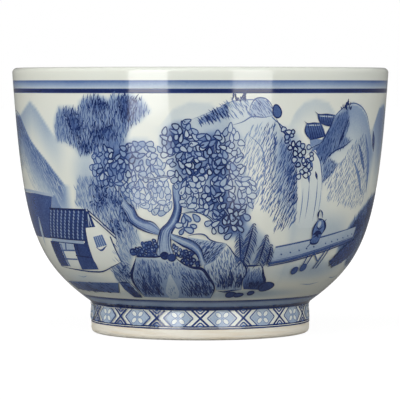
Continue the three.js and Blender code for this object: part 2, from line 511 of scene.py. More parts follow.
@dataclass(frozen=True)
class CobaltFinish(Finish):
    """Cobalt strokes or bands under the glaze, their strength from the piece's own pigment attribute."""

    mottle: float = 0.2

    def build(self, effects: Effects) -> Material:
        """Makes the material.

        Args:
            effects: The shared groups.

        Returns:
            The finished material.
        """
        material, graph, shader = self.start()
        load = graph.add("Attribute", attribute_name="pigment", attribute_type="GEOMETRY").outputs["Fac"]
        cobalt = graph.add("Group", {"Pigment": load, "Mottle": self.mottle}, node_tree=effects.cobalt)
        graph.tree.links.new(cobalt.outputs["Color"], shader.inputs["Base Color"])
        self.gloss(graph, shader, effects)
        return material


@dataclass(frozen=True)
class BiscuitFinish(Finish):
    """Bare fired porcelain: warm white, matt and faintly grainy."""

    pale: tuple[float, float, float] = (0.78, 0.745, 0.65)
    warm: tuple[float, float, float] = (0.70, 0.61, 0.46)

    def build(self, effects: Effects) -> Material:
        """Makes the material.

        Args:
            effects: The shared groups.

        Returns:
            The finished material.
        """
        material, graph, shader = self.start()
        where = graph.add("TexCoord").outputs["Object"]
        streak = graph.add("Mapping", {"Vector": where, "Scale": (1.0, 1.0, 14.0)}).outputs[0]
        flame = graph.ramp(graph.noise(110, 3, streak), ((0.42, self.pale), (0.78, self.warm)))
        speck = graph.add("Group", node_tree=effects.speck).outputs["Mask"]
        spotted = graph.add("Mix", {"Factor": speck, 6: flame, 7: (0.30, 0.22, 0.15, 1.0)}, data_type="RGBA")
        graph.tree.links.new(spotted.outputs[2], shader.inputs["Base Color"])
        grain = graph.noise(3800, 4)
        bump = graph.add("Bump", {"Height": grain, "Strength": 0.6, "Distance": 0.03 * MM})
        graph.tree.links.new(bump.outputs["Normal"], shader.inputs["Normal"])
        dull = graph.maths("ADD", graph.maths("MULTIPLY", grain, 0.25), self.roughness - 0.12)
        graph.tree.links.new(dull, shader.inputs["Roughness"])
        return material


# ---- Meshes ----


def link_piece(name: str, mesh: Mesh, material: Material, slot: str,
        replaced: Sequence[str] = ()) -> Object:
    """Makes an object of a mesh, dresses it and lets it ride on the cup.

    Args:
        name: The piece's name.
        mesh: Its mesh, in metres.
        material: Its material.
        slot: The record's material slot; not used.
        replaced: CAD nodes that it stands for.

    Returns:
        The piece.
    """
    mesh.materials.append(material)
    piece = bpy.data.objects.new(name, mesh)
    bpy.context.scene.collection.objects.link(piece)
    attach(piece, "root")
    if replaced:
        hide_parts(*replaced)
    LOG.info("%s: %d faces", name, len(mesh.polygons))
    return piece


def turned_mesh(name: str, outline: np.ndarray, segments: int) -> tuple[Mesh, np.ndarray, np.ndarray]:
    """Turns an outline about Z into a closed mesh.

    Args:
        name: The mesh's name.
        outline: Points as (radius, height) in mm, anticlockwise with the radius to the right. It closes on
            itself, or starts and ends on the axis.
        segments: Facets round the piece.

    Returns:
        The mesh, and the azimuth and height of each vertex.
    """
    on_axis = outline[:, 0] < AXIS
    azimuth = np.arange(segments) * 360 / segments - 180
    starts, columns = [], []
    count = 0
    for (radius, height), pole in zip(outline, on_axis):
        ring = np.zeros(1) if pole else azimuth
        starts.append(count)
        count += len(ring)
        turn = np.radians(ring)
        columns.append(np.column_stack([radius * np.sin(turn), -radius * np.cos(turn), 0 * turn + height,
            ring]))
    every = np.concatenate(columns)
    faces = []
    around = np.arange(segments)
    after = (around + 1) % segments
    spans = [(i, i + 1) for i in range(len(outline) - 1)] + ([] if on_axis[0] else [(len(outline) - 1, 0)])
    for a, b in spans:
        low_a, low_b = starts[a], starts[b]
        if on_axis[a] and on_axis[b]:
            continue
        if on_axis[a]:
            faces += np.column_stack([0 * around + low_a, low_b + after, low_b + around]).tolist()
        elif on_axis[b]:
            faces += np.column_stack([low_a + around, low_a + after, 0 * around + low_b]).tolist()
        else:
            faces += np.column_stack([low_a + around, low_a + after, low_b + after, low_b + around]).tolist()
    mesh = bpy.data.meshes.new(name)
    mesh.from_pydata((every[:, :3] * MM).tolist(), [], faces)
    mesh.shade_smooth()
    mesh.set_sharp_from_angle(angle=SHARP)
    return mesh, every[:, 3], every[:, 2]


def set_pigment(mesh: Mesh, values: np.ndarray) -> None:
    """Stores how much pigment each vertex holds, from 0 to 1."""
    layer = mesh.attributes.new("pigment", "FLOAT", "POINT")
    layer.data.foreach_set("value", values.astype(np.float32))


def set_map(mesh: Mesh, across: np.ndarray, up: np.ndarray) -> None:
    """Gives a mesh the map that its colours are baked on: each corner's place across and up it."""
    layer = mesh.uv_layers.new(name="OFBake", do_init=False)
    layer.uv.foreach_set("vector", np.column_stack([across, up]).astype(np.float32).ravel())


def corner_vertices(mesh: Mesh) -> np.ndarray:
    """The vertex of each face corner."""
    found = np.empty(len(mesh.loops), np.int32)
    mesh.loops.foreach_get("vertex_index", found)
    return found


def wrap_map(mesh: Mesh, azimuth: np.ndarray, along: np.ndarray) -> None:
    """Lays a turned mesh's map out flat, once round across it and its outline up it.

    Args:
        mesh: The mesh.
        azimuth: Degrees round the cup of each vertex.
        along: Each vertex's share of the outline's length.
    """
    vertex = corner_vertices(mesh)
    across = (azimuth[vertex] + 180) / 360
    first = np.empty(len(mesh.polygons), np.int32)
    mesh.polygons.foreach_get("loop_start", first)
    total = np.diff(np.append(first, len(vertex)))
    widest = np.repeat(np.maximum.reduceat(across, first), total)
    across = np.where((widest > 0.75) & (across < 0.25), across + 1, across)
    set_map(mesh, across.clip(0, 1), along[vertex])


# ---- Washes: soft pigment held by the glazed wall itself ----


def between(start: Place, end: Place, share: float) -> Place:
    """The place a share of the way from one to another."""
    return start[0] + (end[0] - start[0]) * share, start[1] + (end[1] - start[1]) * share


def within(place: Place, outline: Outline) -> bool:
    """Whether a place lies inside an outline."""
    found = False
    for (u0, z0), (u1, z1) in zip(outline, [*outline[1:], outline[0]]):
        if (z0 > place[1]) != (z1 > place[1]) and place[0] < (u1 - u0) * (place[1] - z0) / (z1 - z0) + u0:
            found = not found
    return found


def extent(outline: Outline) -> tuple[float, float, float, float]:
    """The least and greatest azimuth of an outline, then its least and greatest height."""
    across, up = zip(*outline)
    return min(across), max(across), min(up), max(up)


def smooth(value: np.ndarray) -> np.ndarray:
    """A soft step from 0 at 0 to 1 at 1."""
    held = np.clip(value, 0, 1)
    return held * held * (3 - 2 * held)


class Washes:
    """How much pigment lies at each place of the wall, built up wash by wash."""

    def __init__(self, wall: Wall, azimuth: np.ndarray, height: np.ndarray) -> None:
        """Starts with bare porcelain.

        Args:
            wall: The wall.
            azimuth: Degrees round the cup of each place.
            height: Height of each place in mm.
        """
        self.azimuth, self.height = azimuth, height
        self.scale = wall.radius(height) * math.pi / 180
        self.load = np.zeros(len(azimuth))

    def around(self, centre: float) -> np.ndarray:
        """Every azimuth as a number within half a turn of a centre."""
        return (self.azimuth - centre + 180) % 360 - 180 + centre

    def deepen(self, share: np.ndarray, tone: float) -> None:
        """Adds pigment where a share is above 0, without taking any away."""
        self.load += share * tone * (1 - self.load)

    def under_ridge(self, ridge: Outline, tone: float, fade: float, edge: float = 0.7,
            sides: float = 7.0) -> None:
        """A wash that is darkest just under a ridge and fades downwards.

        Args:
            ridge: The ridge from left to right.
            tone: Pigment at the ridge.
            fade: How far down it fades, in mm.
            edge: Softness of the ridge line, in mm.
            sides: Softness of the two ends, in degrees.
        """
        left, right = ridge[0][0], ridge[-1][0]
        turn = self.around((left + right) / 2)
        line = np.interp(turn, [p[0] for p in ridge], [p[1] for p in ridge])
        depth = line - self.height
        share = smooth(depth / edge + 0.5) * (1 - smooth(depth / fade)) ** 1.2
        share *= smooth((turn - left) / sides + 0.5) * smooth((right - turn) / sides + 0.5)
        self.deepen(share, tone)

    def spot(self, centre: Place, half_width: float, half_height: float, tone: float,
            edge: float = 0.3) -> None:
        """A round or oval patch.

        Args:
            centre: Its middle.
            half_width: Half its width in mm.
            half_height: Half its height in mm.
            tone: Most pigment that is added.
            edge: Share of the patch that is soft, from its rim inwards.
        """
        turn = self.around(centre[0])
        far = np.hypot((turn - centre[0]) * self.scale / half_width, (self.height - centre[1]) / half_height)
        self.deepen(smooth((1 - far) / edge), tone)

    def area(self, outline: Outline, tone: float, edge: float = 0.3, low_tone: float | None = None) -> None:
        """Covers the inside of an outline.

        Args:
            outline: Its corners in order.
            tone: Pigment at the top of the area.
            edge: Softness of its edge in mm.
            low_tone: Pigment at the bottom, the same as the top if left out.
        """
        centre = sum(p[0] for p in outline) / len(outline)
        turn = self.around(centre)
        left, right, low, high = extent(outline)
        near = np.flatnonzero((self.height > low - 1) & (self.height < high + 1) &
                              (turn > left - 2) & (turn < right + 2))
        scale = self.scale[near]
        x, y = (turn[near] - centre) * scale, self.height[near]
        away = np.full(len(near), 1e9)
        inside = np.zeros(len(near), bool)
        for (u0, y0), (u1, y1) in zip(outline, [*outline[1:], outline[0]]):
            x0, x1 = (u0 - centre) * scale, (u1 - centre) * scale
            length = np.maximum((x1 - x0) ** 2 + (y1 - y0) ** 2, 1e-9)
            share = (((x - x0) * (x1 - x0) + (y - y0) * (y1 - y0)) / length).clip(0, 1)
            away = np.minimum(away, np.hypot(x - x0 - share * (x1 - x0), y - y0 - share * (y1 - y0)))
            if y0 != y1:
                crossing = ((y0 > y) != (y1 > y)) & (x < (x1 - x0) * (y - y0) / (y1 - y0) + x0)
                inside ^= crossing
        cover = smooth(np.where(inside, away, -away) / edge + 0.5)
        down = ((high - y) / max(high - low, 1e-6)).clip(0, 1)
        shade = tone + (((low_tone if low_tone is not None else tone) - tone) * down)
        self.load[near] += cover * (shade - self.load[near])


# ---- Strokes: crisp brushwork laid on the wall ----


class Taper(Enum):
    """Which ends of a stroke come to a point."""

    NONE = (0.0, 0.0)
    START = (1.0, 0.0)
    END = (0.0, 1.0)
    BOTH = (1.0, 1.0)


class Layer(Enum):
    """How far a group of strokes starts proud of the glaze, in mm, so that later work covers earlier."""

    BANDS = 0.008
    HILLS = 0.012
    PINES = 0.028
    BUILDINGS = 0.032
    TREES = 0.05
    ROCKS = 0.1
    FIGURES = 0.16


class Canvas:
    """A group of strokes and fills that becomes one piece.

    CLEAR, LOOSE and LEAF are the gaps in mm above a fill, from stroke to stroke and from leaf to leaf.
    CURVE, LINE, ROW and COLUMN are the usual sizes of facets in mm. TIP and SWELL shape a tapered end.
    """

    CLEAR, LOOSE, LEAF = 0.002, 0.0005, 0.0035
    CURVE, LINE, ROW, COLUMN = 0.4, 0.6, 0.5, 0.6
    MOST_SPANS = 60
    CORNERS = 12
    TIP, SWELL = 0.06, 0.42

    def __init__(self, name: str, wall: Wall, layer: Layer, seed: int = 1) -> None:
        """Starts empty.

        Args:
            name: The piece's name.
            wall: The wall that it is painted on.
            layer: How far its strokes stand proud.
            seed: Where its random draws start.
        """
        self.name, self.wall = name, wall
        self.random = random.Random(seed)
        self.places: list[np.ndarray] = []
        self.lifts: list[np.ndarray] = []
        self.loads: list[np.ndarray] = []
        self.faces: list[list[int]] = []
        self.count = 0
        self.marks = 0
        self.level = self.top = layer.value

    def _store(self, places: np.ndarray, load: float | np.ndarray, faces: Iterable[Sequence[int]],
               lift: float) -> None:
        """Adds vertices and faces at a distance from the glaze."""
        self.places.append(places)
        self.lifts.append(np.full(len(places), lift))
        self.loads.append(np.broadcast_to(load, len(places)).astype(float))
        self.faces += [[index + self.count for index in face] for face in faces]
        self.count += len(places)
        self.marks += 1
        self.top = max(self.top, lift)

    def settle(self) -> None:
        """Puts what comes next above all that is there."""
        self.level = self.top + self.CLEAR

    def stroke(self, points: Outline, width: float, load: float, taper: Taper = Taper.BOTH,
               curved: bool = True, lift: float | None = None) -> None:
        """Draws one stroke.

        Args:
            points: The places that it passes through.
            width: Its full width in mm.
            load: How much pigment it holds.
            taper: Which ends come to a point.
            curved: Whether it rounds its corners.
            lift: How far it stands proud, just above the last fill if left out.
        """
        line = np.array(points, float)
        scale = self.wall.degree(line[:, 1].mean())
        line[:, 0] *= scale
        spans = np.linalg.norm(np.diff(line, axis=0), axis=1)
        length = spans.sum()
        if length < 1e-6:
            return
        along = np.append(0, np.cumsum(spans))
        steps = max(3, min(self.MOST_SPANS, int(length / (self.CURVE if curved else self.LINE)) + 1))
        at = np.linspace(0, length, steps + 1)
        if curved and len(line) > 2:
            slopes = np.gradient(line, along + np.arange(len(along)) * 1e-9, axis=0)
            k = np.clip(np.searchsorted(along, at, side="right") - 1, 0, len(spans) - 1)
            h = np.maximum(spans[k], 1e-9)[:, None]
            t = ((at - along[k])[:, None] / h).clip(0, 1)
            line = ((2 * t**3 - 3 * t**2 + 1) * line[k] + (t**3 - 2 * t**2 + t) * h * slopes[k]
                    + (3 * t**2 - 2 * t**3) * line[k + 1] + (t**3 - t**2) * h * slopes[k + 1])
        else:
            line = np.column_stack([np.interp(at, along, line[:, 0]), np.interp(at, along, line[:, 1])])
        run = np.gradient(line, axis=0)
        side = np.column_stack([-run[:, 1], run[:, 0]])
        side /= np.maximum(np.linalg.norm(side, axis=1), 1e-9)[:, None]
        share = at / length
        start, end = taper.value
        swell = (np.minimum(1, (share + self.TIP) / self.SWELL) ** start
                 * np.minimum(1, (1 + self.TIP - share) / self.SWELL) ** end)
        half = side * (width / 2 * swell)[:, None]
        both = np.concatenate([line - half, line + half])
        both[:, 0] /= scale
        rows = len(line)
        lift = self.level + self.LOOSE * (self.marks % 4) if lift is None else lift
        self._store(both, load, [[i, i + 1, rows + i + 1, rows + i] for i in range(rows - 1)], lift)

    def strokes(self, marks: Iterable[Mark], taper: Taper = Taper.BOTH, curved: bool = True) -> None:
        """Draws several strokes with the same kind of ends."""
        for points, width, load in marks:
            self.stroke(points, width, load, taper, curved)

    def loop(self, centre: Place, long: float, short: float, angle: float, width: float, load: float,
             inside: float | None = None, pointed: float = 0.35) -> None:
        """Draws a leaf or pebble: an outline, with its inside filled if asked.

        Args:
            centre: Its middle.
            long: Its length in mm.
            short: Its width in mm.
            angle: Degrees that its length is turned from level.
            width: Width of the outline.
            load: Pigment of the outline.
            inside: Pigment of the filled inside.
            pointed: How much its tip is drawn out, from 0 to 1.
        """
        scale = self.wall.degree(centre[1])
        turn = np.linspace(0, 2 * math.pi, self.CORNERS + 1)
        x = np.cos(turn) * long / 2
        y = np.sin(turn) * short / 2 * (1 - pointed * np.cos(turn))
        a = math.radians(angle)
        u = centre[0] + (x * math.cos(a) - y * math.sin(a)) / scale
        v = centre[1] + x * math.sin(a) + y * math.cos(a)
        ring = np.column_stack([u, v])
        lift = self.level + self.LEAF * (self.marks % 5)
        if inside is not None:
            hub = np.concatenate([[centre], ring[:-1]])
            faces = [[0, i + 1, (i + 1) % self.CORNERS + 1] for i in range(self.CORNERS)]
            self._store(hub, inside, faces, lift)
        if width > 0:
            self.stroke([tuple(p) for p in ring], width, load, Taper.NONE, lift=lift + self.CLEAR)

    def scatter(self, outline: Outline, across: float, down: float, jitter: float = 0.35) -> list[Place]:
        """Uneven rows of places inside an outline, from the top down.

        Args:
            outline: Its corners in order.
            across: Usual distance between neighbours in a row, in mm.
            down: Usual distance between rows, in mm.
            jitter: How uneven they are, as a share of those distances.

        Returns:
            The places.
        """
        left, right, low, high = extent(outline)
        found = []
        for row in range(int((high - low) / down) + 2):
            level = high - row * down
            step = math.degrees(across / float(self.wall.radius(level)))
            for column in range(int((right - left) / step) + 2):
                shift = column + row % 2 / 2 + self.random.uniform(-jitter, jitter)
                place = (left + shift * step, level + self.random.uniform(-jitter, jitter) * down)
                if within(place, outline):
                    found.append(place)
        return found

    def dash(self, start: Place, length: float, angle: float, width: float, load: float, bend: float = 0.0,
             taper: Taper = Taper.BOTH) -> None:
        """Draws one short stroke.

        Args:
            start: Where it starts.
            length: Its length in mm.
            angle: Its direction in degrees, 0 to the right and 90 up.
            width: Its width in mm.
            load: How much pigment it holds.
            bend: How far its middle bows to the left, as a share of its length.
            taper: Which ends come to a point.
        """
        scale = self.wall.degree(start[1])
        a = math.radians(angle)
        x, y = math.cos(a) * length, math.sin(a) * length
        middle = (start[0] + (x / 2 - y * bend) / scale, start[1] + y / 2 + x * bend)
        self.stroke([start, middle, (start[0] + x / scale, start[1] + y)], width, load, taper, bend != 0)

    def hatch(self, outline: Outline, gap: float, length: float, angle: float, load: float,
            low_load: float | None = None, width: float = 0.15, spread: float = 9.0,
            kept: bool = False) -> None:
        """Fills an area with short brush strokes.

        Args:
            outline: Its corners in order.
            gap: Usual distance between neighbours in mm.
            length: Usual length in mm.
            angle: Usual direction in degrees, 0 to the right and 90 up.
            load: Pigment at the top of the area.
            low_load: Pigment at its bottom, the same as the top if left out.
            width: Width of a stroke in mm.
            spread: How much the direction varies.
            kept: Whether strokes that would cross the edge are left out.
        """
        _, _, low, high = extent(outline)
        low_load = load if low_load is None else low_load
        for place in self.scatter(outline, gap, length * 0.55, 0.5):
            tone = load + (low_load - load) * (high - place[1]) / (high - low)
            turn = math.radians(angle + self.random.uniform(-spread, spread))
            reach = length * self.random.uniform(0.6, 1.3)
            scale = self.wall.degree(place[1])
            half = (math.cos(turn) * reach / 2 / scale, math.sin(turn) * reach / 2)
            ends = [(place[0] - half[0], place[1] - half[1]), (place[0] + half[0], place[1] + half[1])]
            if not kept or all(within(end, outline) for end in ends):
                self.dash(ends[0], reach, math.degrees(turn), width * self.random.uniform(0.7, 1.3),
                          tone * self.random.uniform(0.7, 1.2), 0.06 * self.random.uniform(-1, 2))

    def fill(self, left: Outline, right: Outline, load: float, low_load: float | None = None) -> None:
        """Fills the area between a left and a right edge.

        Args:
            left: The left edge from the top down.
            right: The right edge from the top down.
            load: Pigment at the top.
            low_load: Pigment at the bottom, the same as the top if left out.
        """
        edges = [np.array(side, float) for side in (left, right)]
        drop = max(np.ptp(side[:, 1]) for side in edges)
        rows = max(2, int(drop / self.ROW) + 1)
        share = np.linspace(0, 1, rows + 1)
        ends = []
        for side in edges:
            along = np.append(0, np.cumsum(np.hypot(*np.diff(side, axis=0).T)))
            along /= along[-1]
            ends.append(np.column_stack([np.interp(share, along, side[:, 0]), np.interp(share, along,
                side[:, 1])]))
        wide = np.abs(ends[1][:, 0] - ends[0][:, 0]).max() * self.wall.degree(edges[0][0, 1])
        columns = max(2, int(wide / self.COLUMN) + 1)
        across = np.linspace(0, 1, columns + 1)[None, :, None]
        grid = ends[0][:, None, :] * (1 - across) + ends[1][:, None, :] * across
        low_load = load if low_load is None else low_load
        loads = np.repeat(load + (low_load - load) * share, columns + 1)
        corner = [(r * (columns + 1) + c) for r in range(rows) for c in range(columns)]
        step = columns + 1
        faces = [[i, i + 1, i + step + 1, i + step] for i in corner]
        self._store(grid.reshape(-1, 2), loads, faces, self.top + self.CLEAR)
        self.settle()

    def build(self, material: Material, slot: str, replaced: Sequence[str] = ()) -> Object:
        """Makes the piece.

        Args:
            material: Its material.
            slot: The record's material slot.
            replaced: CAD nodes that it stands for.

        Returns:
            The piece.
        """
        places = np.concatenate(self.places)
        lift = np.concatenate(self.lifts)
        load = np.concatenate(self.loads)
        base, normals = self.wall.points(places[:, 0], places[:, 1], 0.0)
        mesh = bpy.data.meshes.new(self.name)
        mesh.from_pydata((base + normals * lift[:, None] * MM).tolist(), [], self.faces)
        mesh.shade_smooth()
        self._face_out(mesh, normals)
        set_pigment(mesh, load.clip(0, 1))
        vertex = corner_vertices(mesh)
        set_map(mesh, load[vertex].clip(0, 1), (places[vertex, 0] % 7) / 7)
        mesh.normals_split_custom_set_from_vertices(normals.tolist())
        return link_piece(self.name, mesh, material, slot, replaced)

    @staticmethod
    def _face_out(mesh: Mesh, normals: np.ndarray) -> None:
        """Turns every face so that its front looks out of the wall."""
        work = bmesh.new()
        work.from_mesh(mesh)
        work.verts.ensure_lookup_table()
        work.normal_update()
        wrong = [f for f in work.faces if f.normal.dot(Vector(normals[f.verts[0].index])) < 0]
        bmesh.ops.reverse_faces(work, faces=wrong)
        work.to_mesh(mesh)
        work.free()


# ---- The painted landscape ----


class Motif:
    """Something painted: first it may lay a wash, then it draws its strokes."""

    def wash(self, washes: Washes) -> None:
        """Lays no wash, unless the kind of motif has one."""

    def draw(self, canvas: Canvas) -> None:
        """Draws nothing, unless the kind of motif does."""


@dataclass(frozen=True)
class Mountain(Motif):
    """A hill drawn as a ridge line, a wash that fades below it and slanting brush texture."""

    ridge: tuple[Place, ...]
    tone: float
    fade: float
    line: float = 0.5
    texture: float = 0.35
    depth: float = 14.0
    slant: float = -68.0
    gap: float = 0.75

    def wash(self, washes: Washes) -> None:
        """Lays its wash."""
        washes.under_ridge(self.ridge, self.tone, self.fade)

    def draw(self, canvas: Canvas) -> None:
        """Draws its ridge and texture."""
        canvas.stroke(self.ridge, 0.26, self.line)
        if self.texture > 0:
            foot = [(u, max(z - self.depth, 14.0)) for u, z in reversed(self.ridge[1:-1])]
            canvas.hatch([*self.ridge, *foot], self.gap, 1.9, self.slant, self.texture, self.texture * 0.25,
                width=0.17)


def closeness(wall: Wall, place: Place, hearts: Outline, reach: float) -> float:
    """How near a place is to the nearest heart: 1 at it, falling to 0 past a reach in mm."""
    scale = wall.degree(place[1])
    far = min(math.hypot((place[0] - u) * scale, place[1] - z) for u, z in hearts)
    return math.exp(-((far / reach) ** 2))


@dataclass(frozen=True)
class PineMass(Motif):
    """Clumps of pine needles: fine upright strokes over a wash, with darker hearts."""

    outline: tuple[Place, ...]
    hearts: tuple[Place, ...]
    tone: float = 0.34
    needles: float = 0.8
    slant: float = 84.0
    reach: float = 3.2

    def wash(self, washes: Washes) -> None:
        """Lays its wash."""
        washes.area(self.outline, self.tone * 0.62, 2.0, self.tone * 0.5)
        for heart in self.hearts:
            washes.spot(heart, self.reach, self.reach * 0.8, self.tone * 0.5, 0.95)

    def draw(self, canvas: Canvas) -> None:
        """Draws its needles and twigs."""
        draw = canvas.random
        for place in canvas.scatter(self.outline, 0.5, 0.72, 0.5):
            near = closeness(canvas.wall, place, self.hearts, self.reach)
            canvas.dash((place[0], place[1] - 0.7), draw.uniform(1.0, 2.0), self.slant + draw.gauss(0, 13),
                0.21, self.needles * (0.5 + 0.5 * near) * draw.uniform(0.75, 1.2), 0.08)
        for heart in self.hearts:
            for _ in range(13):
                place = (heart[0] + draw.gauss(0, 1.7), heart[1] + draw.gauss(0, 0.7))
                canvas.dash(place, draw.uniform(0.6, 1.3), draw.uniform(20, 150), 0.36, 0.9, 0.2)


@dataclass(frozen=True)
class LeafMass(Motif):
    """Foliage of outlined leaves, darkest round its hearts."""

    outline: tuple[Place, ...]
    hearts: tuple[Place, ...]
    reach: float = 5.0
    tone: float = 0.5
    dark: float = 0.98
    pale: float = 0.62
    inside: float = 0.18
    line: float = 0.25
    long: float = 2.0
    short: float = 1.12
    gap: float = 1.42
    rows: float = 1.22

    def wash(self, washes: Washes) -> None:
        """Lays its wash."""
        washes.area(self.outline, self.tone * 0.3, 1.4)
        for heart in self.hearts:
            washes.spot(heart, self.reach, self.reach, self.tone * 0.85, 0.9)

    def draw(self, canvas: Canvas) -> None:
        """Draws its leaves."""
        draw = canvas.random
        for place in canvas.scatter(self.outline, self.gap, self.rows, 0.34):
            near = closeness(canvas.wall, place, self.hearts, self.reach)
            line = self.pale + (self.dark - self.pale) * near
            canvas.loop(place, self.long * draw.uniform(0.7, 1.15), self.short * draw.uniform(0.7, 1.1),
                        draw.gauss(86, 50), self.line * (0.8 + 0.5 * near), line * draw.uniform(0.85, 1.1),
                        self.inside * draw.uniform(0.6, 1.3) + (0.24 * draw.random() + 0.04) * near, 0.5)


@dataclass(frozen=True)
class Trunk(Motif):
    """A trunk or bough between two edges, with dark sides and bark strokes."""

    left: tuple[Place, ...]
    right: tuple[Place, ...]
    tone: float = 0.3
    line: float = 0.92
    width: float = 0.42
    bark: float = 0.66

    def draw(self, canvas: Canvas) -> None:
        """Draws it."""
        canvas.fill(self.left, self.right, self.tone * 1.3, self.tone)
        for share, load, width in ((0.16, self.bark, 0.5), (0.3, self.bark * 0.8, 0.2),
                (0.64, self.bark * 0.7, 0.2), (0.84, self.bark, 0.4)):
            canvas.stroke([between(a, b, share + 0.06 * canvas.random.uniform(-1, 1)) for a,
                b in zip(self.left, self.right)], width, load)
        canvas.stroke(self.left, self.width, self.line)
        canvas.stroke(self.right, self.width, self.line)


@dataclass(frozen=True)
class Rock(Motif):
    """A rock: pale top, dark foot, brushed texture and a strong outline."""

    left: tuple[Place, ...]
    right: tuple[Place, ...]
    top: float = 0.1
    foot: float = 0.4
    line: float = 0.88
    slant: float = 78.0
    gap: float = 0.46
    strokes: float = 0.55

    @property
    def outline(self) -> list[Place]:
        """Its corners in order."""
        return [*self.left, *reversed(self.right)]

    def draw(self, canvas: Canvas) -> None:
        """Draws it."""
        canvas.fill(self.left, self.right, self.top, self.foot)
        canvas.hatch(self.outline, self.gap, 1.2, self.slant, self.strokes, min(1.0, self.strokes * 1.7),
            0.2, 12, True)
        canvas.stroke([*reversed(self.left)], 0.26, self.line * 0.8)
        canvas.stroke(self.right, 0.4, self.line)


@dataclass(frozen=True)
class FeatherTree(Motif):
    """A small tree drawn like a fern: a stem with slanting strokes to both sides."""

    tip: Place
    foot: Place
    spread: float = 2.4
    load: float = 0.66
    pitch: float = 0.5

    def draw(self, canvas: Canvas) -> None:
        """Draws it."""
        canvas.stroke([self.tip, self.foot], 0.45, self.load * 1.3)
        rows = int((self.tip[1] - self.foot[1]) / self.pitch)
        for row in range(rows):
            place = between(self.tip, self.foot, (row - 0.3) / rows)
            reach = min(self.spread, (self.tip[1] - place[1]) * 0.8 + 1.0)
            for way in (-1, 1):
                canvas.dash(place, reach * canvas.random.uniform(0.8, 1.15),
                    -90 + way * canvas.random.uniform(34, 48), 0.22, self.load * canvas.random.uniform(0.75,
                    1.15), way * 0.06)


@dataclass(frozen=True)
class Roof(Motif):
    """A tiled roof seen from the side: dark courses with pale beads of light on the tiles."""

    ridge_left: Place
    ridge_right: Place
    eave_left: Place
    eave_right: Place
    load: float = 0.74
    columns: int = 9
    beads: int = 7
    bead_load: float = 0.3

    def draw(self, canvas: Canvas) -> None:
        """Draws it."""
        canvas.fill((self.ridge_left, self.eave_left), (self.ridge_right, self.eave_right), self.load)
        for column in range(self.columns):
            share = (column + 0.5) / self.columns
            top = between(self.ridge_left, self.ridge_right, share)
            low = between(self.eave_left, self.eave_right, share)
            for bead in range(self.beads):
                place = between(top, low, (bead + 0.7) / (self.beads + 0.4))
                canvas.loop(place, 0.66, 0.42, 92, 0, 0, self.bead_load + 0.1 * canvas.random.random(), 0)
        canvas.stroke([self.ridge_left, self.ridge_right], 0.5, self.load * 1.15, Taper.NONE, False)
        canvas.stroke([self.eave_left, self.eave_right], 0.34, self.load * 1.1, Taper.NONE, False)


@dataclass
class Scenery:
    """One piece of the landscape: its washes and strokes, kept together as a layer of brushwork."""

    name: str
    layer: Layer
    parts: Sequence[Motif] = ()
    extra: Callable[[Canvas], None] | None = None
    extra_wash: Callable[[Washes], None] | None = None
    seed: int = 1
    replaced: Sequence[str] = ()

    def wash(self, washes: Washes) -> None:
        """Lays the washes of every part."""
        if self.extra_wash:
            self.extra_wash(washes)
        for part in self.parts:
            part.wash(washes)

    def build(self, wall: Wall, material: Material) -> Object:
        """Draws every part and makes the piece.

        Args:
            wall: The painted wall.
            material: Cobalt strokes.

        Returns:
            The piece.
        """
        canvas = Canvas(self.name, wall, self.layer, self.seed)
        for part in self.parts:
            part.draw(canvas)
        if self.extra:
            self.extra(canvas)
        return canvas.build(material, "cobalt_wash", self.replaced)


FAR_PEAK = ((-81, 46.8), (-69, 50.2), (-63, 52.2), (-59, 50.7), (-55, 48.1), (-49, 44))
LEFT_RIDGE = ((-100, 47), (-90, 49.6), (-74, 49), (-65, 43.6), (-56, 39.4), (-47, 34))
CENTRE_RIDGE = ((-3, 48.3), (4, 50.4), (9, 52.2), (13, 52.6), (19, 51.9), (21, 49.3), (26, 46.1),
    (29, 41.8), (31, 34), (32, 25.7))
RIGHT_RIDGE = ((35, 42.2), (39, 43.6), (42, 46.4), (44, 48.9), (47, 50.6), (52, 51.8), (57, 51), (61, 49),
    (64, 45.6), (68, 41))
RIGHT_FACE = ((35, 41.9), (39, 43.3), (42, 46.2), (45, 49), (50, 50.4), (51, 47), (49, 44.4), (52.6, 43.6),
    (49, 42.2), (45, 41.4), (42, 40), (41, 38.4), (39, 40))
RIGHT_NOOK = ((41, 34.6), (40.4, 38), (42.6, 39.8), (47, 38.8), (45, 37.2))
BACK_RIDGES = (
    ((92, 36), (102, 45), (112, 50.5), (119, 51.4), (126, 47), (133, 40), (140, 34)),
    ((128, 38), (140, 43.5), (152, 45), (163, 42), (174, 37)),
    ((196, 36), (206, 42), (216, 49.4), (224, 51.8), (233, 50), (243, 44.5), (252, 39)),
)
BACK_FAR_PEAKS = (
    ((136, 46), (147, 50.4), (155, 51.6), (163, 49.5), (172, 45)),
    ((176, 43), (184, 47), (191, 48.4), (200, 45)),
)
CROWN = ((-12, 44.6), (-10, 46.7), (-7, 48.3), (-3, 48.3), (-2, 46.1), (0, 45.5), (3, 44.6), (4, 46.5),
    (7, 47.3), (10, 46.7), (13, 44.4), (11.4, 42), (13, 37.9), (16, 35.3), (18, 33.2), (17, 31.2),
    (15, 27.1), (13, 25.2), (10, 23.2), (5, 24.2), (2, 25.5), (3, 27.4), (0, 28.6), (-5, 28.6), (-6, 32.2),
    (-8, 35.3), (-10, 39.6), (-12, 42.4))
CROWN_HEARTS = ((3, 42.8), (-7, 44.4), (5, 38), (-3, 38.8), (5, 32), (9, 28.4), (11, 26.1))
LOWER_LEAVES = ((-9, 25.6), (-6, 27.6), (-1, 28.4), (0, 26.6), (-3, 24.2), (-6, 23.9))
